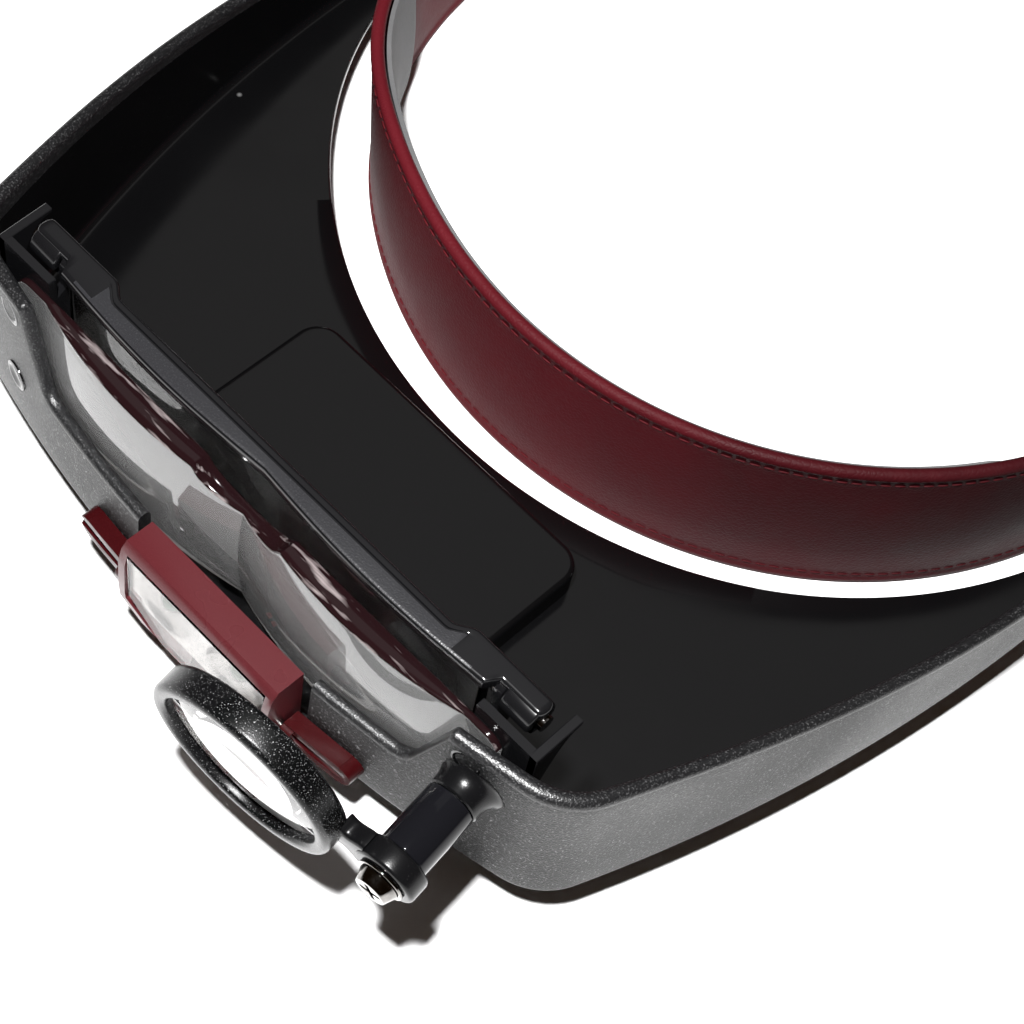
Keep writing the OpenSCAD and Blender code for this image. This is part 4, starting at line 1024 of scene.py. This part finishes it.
def bar_section(y0, y1, z0, z1, r, groove):
    """A rounded rectangle in Y and Z with a groove in its top near the back. On a narrow section
    the corners and the groove shrink, so that the outline never crosses itself."""
    r = min(r, 0.42 * (z1 - z0), 0.42 * (y1 - y0))
    wide = min(0.5, (y1 - y0) / 2 - r)
    y = max(y1 - 1.4, y0 + r + wide)
    cut = [(y, z1), (y - 0.2 * wide, z1 - groove), (y - 0.8 * wide, z1 - groove), (y - wide, z1)]
    low = arc(y0 + r, z0 + r, r, 180, 270, 6) + arc(y1 - r, z0 + r, r, 270, 360, 6)
    return low + arc(y1 - r, z1 - r, r, 0, 90, 6) + cut + arc(y0 + r, z1 - r, r, 90, 180, 6)


def bar_strip():
    """Sections along X; the ends are drawn in so that the ears finish round."""
    straight = BAR_HALF - TIP
    tips = straight + TIP * np.sin(np.radians([15, 30, 45, 60, 75, 88]))
    rows = []
    for x in np.concatenate([-tips[::-1], np.linspace(-straight, straight, 161), tips]):
        away = abs(x)
        shrink = TIP - math.sqrt(max(TIP**2 - max(away - straight, 0) ** 2, 0))
        ear = smooth_step((away - EAR_REAR_X) / 4)
        wave = WAVE * abs(math.sin(math.pi * away / WAVE_END)) if away < WAVE_END else 0
        back = EAR_FRONT_BACK * smooth_step((away - EAR_FRONT_X) / 1.5)
        front, rear = BAR_FRONT - wave + back + shrink, BAR_REAR + EAR_REAR_BACK * ear - shrink
        low, high = BAR_LOW + shrink * 0.6, BAR_TOP - shrink * 0.6
        section = bar_section(front, rear, low, high, BAR_R, GROOVE * (1 - ear))
        rows.append([(x, y, z) for y, z in section])
    return grid_mesh("bar_strip", np.array(rows), loop_u=True, caps=True, sharp=35.0)


def hook(side):
    """A snap hook round the hinge pin: an arc of a ring, open low in front, that grows out of the bar."""
    section = rounded_profile(HOOK_IN, HOOK_OUT, HOOK_X0, HOOK_X1, 0.45)
    rows = []
    for a in np.radians(np.linspace(HOOK_OPEN, HOOK_SHUT, 48)):
        rows.append([(side * h, HINGE_Y + r * math.cos(a), HINGE_Z + r * math.sin(a)) for r, h in section])
    return grid_mesh("hook", np.array(rows), loop_u=True, caps=True, sharp=40.0)


bar = dress(join("inner_lens_bar", [bar_strip(), hook(1), hook(-1)]), FITTING, STRIP)
facing_up = np.array([face.normal.z for face in bar.data.polygons]) > 0.8
middle_x, middle_y, _ = np.array([face.center[:] for face in bar.data.polygons]).T / MM
on_strip = facing_up & (middle_y < GLOSS_Y) & (np.abs(middle_x) < GLOSS_X)
bar.data.polygons.foreach_set("material_index", on_strip.astype(np.int32))
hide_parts("inner_lens_frame")
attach(bar, "inner_lens")
tell(bar)

# %% [markdown]
# ## Lens brackets
#
# A bracket is a strip behind the main lens, a lug for the hinge pin and a thin curved blade that
# points at the head. Each is a flat outline in Y and Z, made as thick as it is along X, so three
# such plates joined in one mesh give the bracket. Mirroring X gives the left one.

# %% Lens brackets
STRIP_FRONT, STRIP_REAR, STRIP_THIN, STRIP_TOP, STRIP_LOW = -29.55, -27.35, -28.1, 46.8, 16.0
LUG_X, LUG_T, LUG_R, LUG_FOOT = 47.6, 1.6, 2.2, -28.4
APEX_X, BLADE_Y, BLADE_Z, BLADE_T = 59.9, -20.2, 47.4, 1.6


def thick_plate(name, outline_yz, x0, x1, edge=0.15):
    """A closed outline in Y and Z between two places on X, with its two rims drawn in a little."""
    outline_yz = np.array(outline_yz, float)
    middle = outline_yz.mean(axis=0)
    reach = np.linalg.norm(outline_yz - middle, axis=1, keepdims=True)
    small = middle + (outline_yz - middle) * (1 - edge / reach)
    rows = []
    for x, ring in ((x0, small), (x0 + edge, outline_yz), (x1 - edge, outline_yz), (x1, small)):
        rows.append(np.concatenate([np.full((len(ring), 1), x), ring], axis=1))
    return grid_mesh(name, np.array(rows), loop_u=True, caps=True, sharp=30.0)


def bracket(side):
    """Strip, lug and blade. The strip is thinner above the rim, where the bar's ear swings past it."""
    strip_outline = [(STRIP_FRONT, STRIP_LOW), (STRIP_REAR, STRIP_LOW), (STRIP_REAR, 41.3)]
    strip_outline += [(STRIP_THIN, 42.3), (STRIP_THIN, STRIP_TOP), (STRIP_FRONT, STRIP_TOP)]
    lug_outline = [(LUG_FOOT, 30.0), (STRIP_REAR, 30.0), (HINGE_Y + LUG_R, 36.0)]
    lug_outline += arc(HINGE_Y, HINGE_Z, LUG_R, 0, 180, 13) + [(HINGE_Y - LUG_R, 43.0), (LUG_FOOT, 41.5)]
    under = [(BLADE_Y - 8.2 * f**0.75, BLADE_Z - 0.5 - 13.0 * f**1.7) for f in np.linspace(0, 1, 9)]
    blade_outline = [(STRIP_FRONT, STRIP_TOP), (BLADE_Y, BLADE_Z), *under, (STRIP_FRONT, 24.0)]
    pieces = []
    for name, shape, x0, x1 in (
            ("strip", strip_outline, LUG_X, APEX_X - 0.02),
            ("lug", lug_outline, LUG_X - 0.02, LUG_X + LUG_T),
            ("blade", blade_outline, APEX_X - BLADE_T, APEX_X)):
        pieces.append(thick_plate(name, shape, *sorted((side * x0, side * x1))))
    return join("lens_bracket", pieces)


for side, node in ((1, "lens_bracket_right"), (-1, "lens_bracket_left")):
    piece = dress(bracket(side), FITTING)
    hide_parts(node)
    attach(piece, "visor")
    tell(piece)

# %% [markdown]
# ## Lamp, brackets and small fittings
#
# These pieces are already the right shape in the frame, so they keep it. Real mouldings have no
# razor edges, though, and it is the light on a rounded edge that makes plastic look like plastic.
# Each in the first list is a copy of its frame node with a narrow bevel on its edges. The small
# or hidden ones in the second list only get their finish.

# %% Lamp and brackets
for node, width, material, body, slot_name in (
        ("lamp_housing", 0.45, RED, "lamp", "red_plastic"),
        # The brackets get the darker red, which is painted shade.
        ("lamp_bracket_left", 0.5, RED_PAINTED_SHADE, "visor", "red_plastic"),
        ("lamp_bracket_right", 0.5, RED_PAINTED_SHADE, "visor", "red_plastic"),
        ("lamp_reflector", 0.15, MIRROR, "lamp", "reflector"),
        ("lamp_window", 0.2, LAMP_CLEAR, "lamp", "clear_lens"),
        ("wire_cover", 0.3, VISOR_IN, "visor", "visor_plastic"),
        ("temple_knob_left", 0.4, SATIN, "knob_left", "black_fittings"),
        ("temple_knob_right", 0.4, SATIN, "knob_right", "black_fittings"),
        ("strap_buckle", 0.4, SATIN, "buckle", "black_fittings"),
        ("battery_lid", 0.2, VISOR_OUT, "battery_cover", "visor_plastic")):
    piece = dress(softened(node, width), material)
    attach(piece, body)
    tell(piece)

for node, material in (
        ("battery_cells", CELL), ("battery_springs", STEEL), ("battery_contacts", BRASS),
        ("switch_body", FITTING), ("switch_slider", SWITCH), ("lead_wires", WIRE),
        ("lens_screws", STEEL), ("bracket_pins", STEEL), ("lamp_bracket_screws", STEEL),
        ("lamp_pivot_pins", STEEL), ("lamp_leds", LED), ("lamp_board", BOARD),
        ("temple_pivots", SATIN), ("band_rivets", STEEL)):
    dress(nodes[node], material)

# %% [markdown]
# ## Loupe
#
# The small lens swings on an arm about a screw at the visor's right front corner. Almost
# everything here is round about one slanted direction, so it is lathed: boss, sleeve, hub, ring
# and glass. The arm is a short bar whose section tapers from the hub to the ring, and the screw
# and its washer are copies of their frame nodes.

# %% Loupe
LOUPE_ROOT = np.array([52.5, -34.0, 33.8])
LOUPE_YAW, LOUPE_PITCH, ARM_TURN = math.radians(5.5), math.radians(6.5), math.radians(4.0)
LOUPE_AXIS = np.array([
    math.sin(LOUPE_YAW) * math.cos(LOUPE_PITCH),
    -math.cos(LOUPE_YAW) * math.cos(LOUPE_PITCH),
    -math.sin(LOUPE_PITCH),
])
LOUPE_X = (math.cos(LOUPE_YAW), math.sin(LOUPE_YAW), 0.0)
LOUPE_AT = basis(LOUPE_ROOT, LOUPE_AXIS, LOUPE_X)
BOSS_L, BOSS_R, BOSS_FOOT, BOSS_FLARE, BOSS_DEPTH = 3.6, 4.35, 2.0, 3.2, 1.6
SLEEVE_D, SLEEVE_L, SCREW_R = 8.5, 11.0, 1.6
HUB_D, HUB_T, HUB_Z, HUB_BORE = 11.0, 4.0, 14.8, 1.56
GLASS_EDGE, GLASS_SPHERE, GROOVE_IN = 1.3, 70.0, 0.7
RING_D, RING_WALL, RING_DEPTH, ARM_REACH = 34.6, 2.6, 5.2, 25.8
RING_Z = HUB_Z + 1.3 + RING_DEPTH / 2


def ring_basis():
    """The ring's middle, with x pointing back to the hub."""
    origin, ex, ey, ez = LOUPE_AT
    to_hub = math.cos(ARM_TURN) * ex - math.sin(ARM_TURN) * ey
    return basis(origin + ez * RING_Z - to_hub * ARM_REACH, ez, to_hub)

# %% Loupe ring and arm
def ring_profile():
    """Round outer edges; inside, a small groove that the lens snaps into."""
    outer, inner, h, r = RING_D / 2, RING_D / 2 - RING_WALL, RING_DEPTH / 2, 1.1
    outside = arc(outer - r, r - h, r, -90, 0, 7) + arc(outer - r, h - r, r, 0, 90, 7)
    inside = [(inner + 0.6, h), (inner + 0.2, h - 0.2), (inner, h - 0.6), (inner, 0.85), (inner + 0.8, 0.85)]
    return outside + inside + [(radius, -height) for radius, height in inside[::-1]]


def arm_bar():
    """Sections from the hub to the ring: a flat rounded bar that narrows to a neck."""
    rows = []
    start, stop = ARM_REACH - HUB_D / 2 + 1.2, RING_D / 2 - 0.6
    middle, thick = HUB_Z + HUB_T / 2 - RING_Z, HUB_T / 2 - 0.3
    for t in np.linspace(0, 1, 13):
        half = 4.2 - 1.5 * smooth_step(t / 0.7) + 0.5 * smooth_step((t - 0.7) / 0.3)
        section = rounded_profile(-half, half, middle - thick, middle + thick, 0.9)
        rows.append([(start + (stop - start) * t, a, b) for a, b in section])
    return grid_mesh("arm_bar", place(np.array(rows), ring_basis()), loop_u=True, caps=True, sharp=40.0)


ring = dress(lathe("ring", ring_profile(), ring_basis(), steps=128), LOUPE)
hub = dress(lathe("hub", rounded_profile(HUB_BORE, HUB_D / 2, HUB_Z, HUB_Z + HUB_T, 0.7), LOUPE_AT), ARM)
loupe_frame = join("loupe_frame", [ring, hub, dress(arm_bar(), ARM)])
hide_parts("loupe_arm")
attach(loupe_frame, "loupe")
tell(loupe_frame)

# %% Loupe glass
def biconvex(radius, edge, sphere_r):
    """Two spherical faces with a thin cylindrical edge."""
    sag = sphere_r - math.sqrt(sphere_r**2 - radius**2)
    r = np.linspace(0, radius, 24)
    face = edge / 2 + sag - (sphere_r - np.sqrt(sphere_r**2 - r**2))
    return [(a, -b) for a, b in zip(r, face)] + [(a, b) for a, b in zip(r[::-1], face[::-1])]


glass_profile = biconvex(RING_D / 2 - RING_WALL + GROOVE_IN, GLASS_EDGE, GLASS_SPHERE)
loupe_glass = dress(lathe("loupe_glass", glass_profile, ring_basis(), steps=128), CLEAR)
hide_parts("loupe_lens")
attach(loupe_glass, "loupe")
tell(loupe_glass)

# %% Sleeve, boss and screw
sleeve_profile = rounded_profile(SCREW_R, SLEEVE_D / 2, BOSS_L + 0.1, BOSS_L + 0.1 + SLEEVE_L, 0.35)
sleeve = dress(lathe("loupe_sleeve_finish", sleeve_profile, LOUPE_AT), SLEEVE)
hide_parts("loupe_sleeve")
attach(sleeve, "visor")
tell(sleeve)


def boss_profile():
    """The boss grows out of the wall: a quarter of an ellipse from a wide foot to the sleeve's width."""
    foot = BOSS_R + BOSS_FOOT
    flare = arc(foot, BOSS_FLARE - 0.6, BOSS_FOOT, 270, 180, 10, radius_y=BOSS_FLARE)
    top = [(BOSS_R, BOSS_L - 0.25), (BOSS_R - 0.25, BOSS_L), (0.8, BOSS_L)]
    return [(0.8, -BOSS_DEPTH), (foot, -BOSS_DEPTH), *flare, *top]


boss = dress(lathe("loupe_boss", boss_profile(), LOUPE_AT), ARM)
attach(boss, "visor")
tell(boss)

for node, width in (("loupe_screw", 0.3), ("loupe_washer", 0.15)):
    piece = dress(softened(node, width), STEEL)
    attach(piece, "visor")
    tell(piece)

# %% [markdown]
# ## Headband
#
# The band is a strip of leatherette, folded over at both edges and stitched there. It is a thin
# cross-section with two rolled edges, carried along a half circle and two straight sides. The
# stitches are short round threads laid in a line beside each roll, one mesh for all of them. The
# lining inside is a soft pad, and the rear strap is a thinner strip of the same leatherette.

# %% Headband path
BAND_R, BAND_H, BAND_T, BAND_Y, BAND_SIDE = 81.3, 35.0, 2.2, 109.9, 14.0
BELLY_S, BELLY_SPREAD, BELLY_FOOT, BELLY_TOP = -70.0, 24.0, 0.7, 2.9
SEAM_IN, SEAM_OUT = 3.0, 0.05


def band_path(s, cy, radius, front=True):
    """Point and outward normal at arc length s from the arc's middle; past its ends, straight on."""
    half = np.pi / 2 * radius
    t = np.clip(s, -half, half) / radius
    past = np.clip(np.abs(s) - half, 0, None)
    direction = -1.0 if front else 1.0
    normal = np.stack([np.sin(t), direction * np.cos(t)], axis=-1)
    point = np.stack([radius * np.sin(t), cy + direction * (radius * np.cos(t) - past)], axis=-1)
    return point, normal


def band_lean(s, z):
    """The soft band isn't a perfect arc: near the left temple it bellies out, most at its top."""
    swell = np.exp(-(((s - BELLY_S) / BELLY_SPREAD) ** 2))
    return swell * (BELLY_FOOT + (BELLY_TOP - BELLY_FOOT) * np.clip(z / BAND_H, 0, 1))

# %% Forehead band
def standing(point, normal, outward, z):
    """A grid of points: each path point moved outwards along its normal, at each height."""
    grid = np.empty((len(point), len(z), 3))
    grid[..., :2] = point[:, None, :] + normal[:, None, :] * outward[..., None]
    grid[..., 2] = z[None, :]
    return grid


def strip(name, path, section, lean=None):
    """A closed cross-section of (outward, up) pairs carried along a path of arc lengths, points and
    normals."""
    s, point, normal = path
    out, up = np.array(section, float).T
    outward = out[None, :] + (lean(s[:, None], up[None, :]) if lean else np.zeros((len(s), 1)))
    return grid_mesh(name, standing(point, normal, outward, up), loop_u=True, caps=True, sharp=50.0)


def band_surface():
    """A strip that is flat between two rolls, which stand a little proud of it on both faces."""
    out, roll = 0.15 - BAND_T / 2, 1.25
    heights = [BAND_H * t for t in np.linspace(0.12, 0.88, 9)]
    section = arc(out, BAND_H - roll, roll, -40, 220, 14) + [(-BAND_T, z) for z in heights[::-1]]
    section += arc(out, roll, roll, 140, 400, 14) + [(0.0, z) for z in heights]
    half = np.pi / 2 * BAND_R + BAND_SIDE
    s = np.linspace(-half, half, 361)
    return strip("forehead_band_skin", (s, *band_path(s, BAND_Y, BAND_R)), section, band_lean)


band = dress(band_surface(), BAND)
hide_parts("forehead_band")
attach(band, "headband")
tell(band)

# %% Stitches
def stitches(height, offset, pitch=2.4, length=1.8, radius=0.2):
    """Short threads along the band: small capsules with six sides, repeated by array arithmetic."""
    half = np.pi / 2 * BAND_R + BAND_SIDE - 3
    starts = np.arange(-half, half, pitch)
    along = np.array([0.0, 0.12, 0.5, 0.88, 1.0]) * length
    girth = np.array([0.15, 0.8, 1.0, 0.8, 0.15]) * radius
    angle = np.radians(np.arange(0, 360, 60))
    s = starts[:, None] + along[None, :]
    point, normal = (v.reshape(*s.shape, 2) for v in band_path(s.ravel(), BAND_Y, BAND_R))
    girth = girth[None, :, None]
    out = offset + girth * np.cos(angle) + band_lean(s, height)[..., None]
    up = height + girth * np.sin(angle) + 0 * out
    xy = point[:, :, None, :] + normal[:, :, None, :] * out[..., None]
    verts = np.concatenate([xy, up[..., None]], axis=-1)
    n, rows, cols = verts.shape[:3]
    one = np.arange(rows * cols).reshape(rows, cols)
    turned = np.roll(one, -1, axis=1)
    quads = np.stack([one[:-1], turned[:-1], turned[1:], one[1:]], axis=-1).reshape(-1, 4)
    shift = np.arange(n) * rows * cols
    faces = (quads[None] + shift[:, None, None]).reshape(-1, 4).tolist()
    faces += [(end + step).tolist() for step in shift for end in (one[0, ::-1], one[-1])]
    mesh = bpy.data.meshes.new("stitches")
    mesh.from_pydata((verts.reshape(-1, 3) * MM).tolist(), [], faces)
    return finish_mesh("stitches", mesh, 60.0)


seam_lines = [stitches(BAND_H - SEAM_IN, SEAM_OUT), stitches(SEAM_IN, SEAM_OUT)]
seams = dress(join("band_stitches", seam_lines), THREAD)
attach(seams, "headband")
tell(seams)

# %% [markdown]
# ## Lining and rear strap
#
# The lining is a soft pad glued inside the band. A box would look hard, so its inner face is
# crowned by a sine of the height, and its ends run out along a quarter circle. The rear strap
# isn't in the photograph; it is a plain strip with round edges on the same kind of path.

# %% Lining
LINING_T, LINING_IN, LINING_HALF = 2.4, 2.2, math.radians(61.5)
STRAP_H, STRAP_T, STRAP_SIDE = 22.0, 1.6, 26.0
STRAP_CY = BAND_Y + 2.0 + STRAP_SIDE
STRAP_R = BAND_R - BAND_T - 0.05
STRAP_Z = BAND_H / 2 - STRAP_H / 2


def lining_surface():
    """A crowned pad inside the band: thickest in the middle of its height, thin at edges and ends."""
    outer = BAND_R - BAND_T - 0.3
    half = LINING_HALF * outer
    s = np.linspace(-half, half, 241)
    low, high = LINING_IN, BAND_H - LINING_IN
    rise = np.linspace(0, 1, 17)
    crown = 0.8 + (LINING_T - 0.9) * np.sin(np.pi * rise) ** 0.6
    ends = np.sqrt(np.clip(1 - (np.clip(np.abs(s) - half + 4, 0, 4) / 4) ** 2, 0.0, 1))
    inward = np.concatenate([[0.0], -crown, [0.0]])[None, :] * np.maximum(ends, 0.12)[:, None]
    heights = np.concatenate([[low], low + (high - low) * rise, [high]])
    inward = inward + band_lean(s[:, None], heights[None, :])
    grid = standing(*band_path(s, BAND_Y, outer), inward, heights)
    return grid_mesh("band_pad", grid, loop_u=True, caps=True, sharp=60.0)


lining = dress(lining_surface(), LINING)
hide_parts("band_lining")
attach(lining, "headband")
tell(lining)

# %% Rear strap
def strap_surface():
    """A thin strip with round edges."""
    r = STRAP_T / 2
    section = arc(-r, STRAP_Z + STRAP_H - r, r, 0, 180, 9) + arc(-r, STRAP_Z + r, r, 180, 360, 9)
    half = np.pi / 2 * STRAP_R + STRAP_SIDE
    s = np.linspace(-half, half, 301)
    return strip("rear_strap_skin", (s, *band_path(s, STRAP_CY, STRAP_R, front=False)), section)


strap = dress(strap_surface(), BAND)
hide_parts("rear_strap")
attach(strap, "headband")
tell(strap)
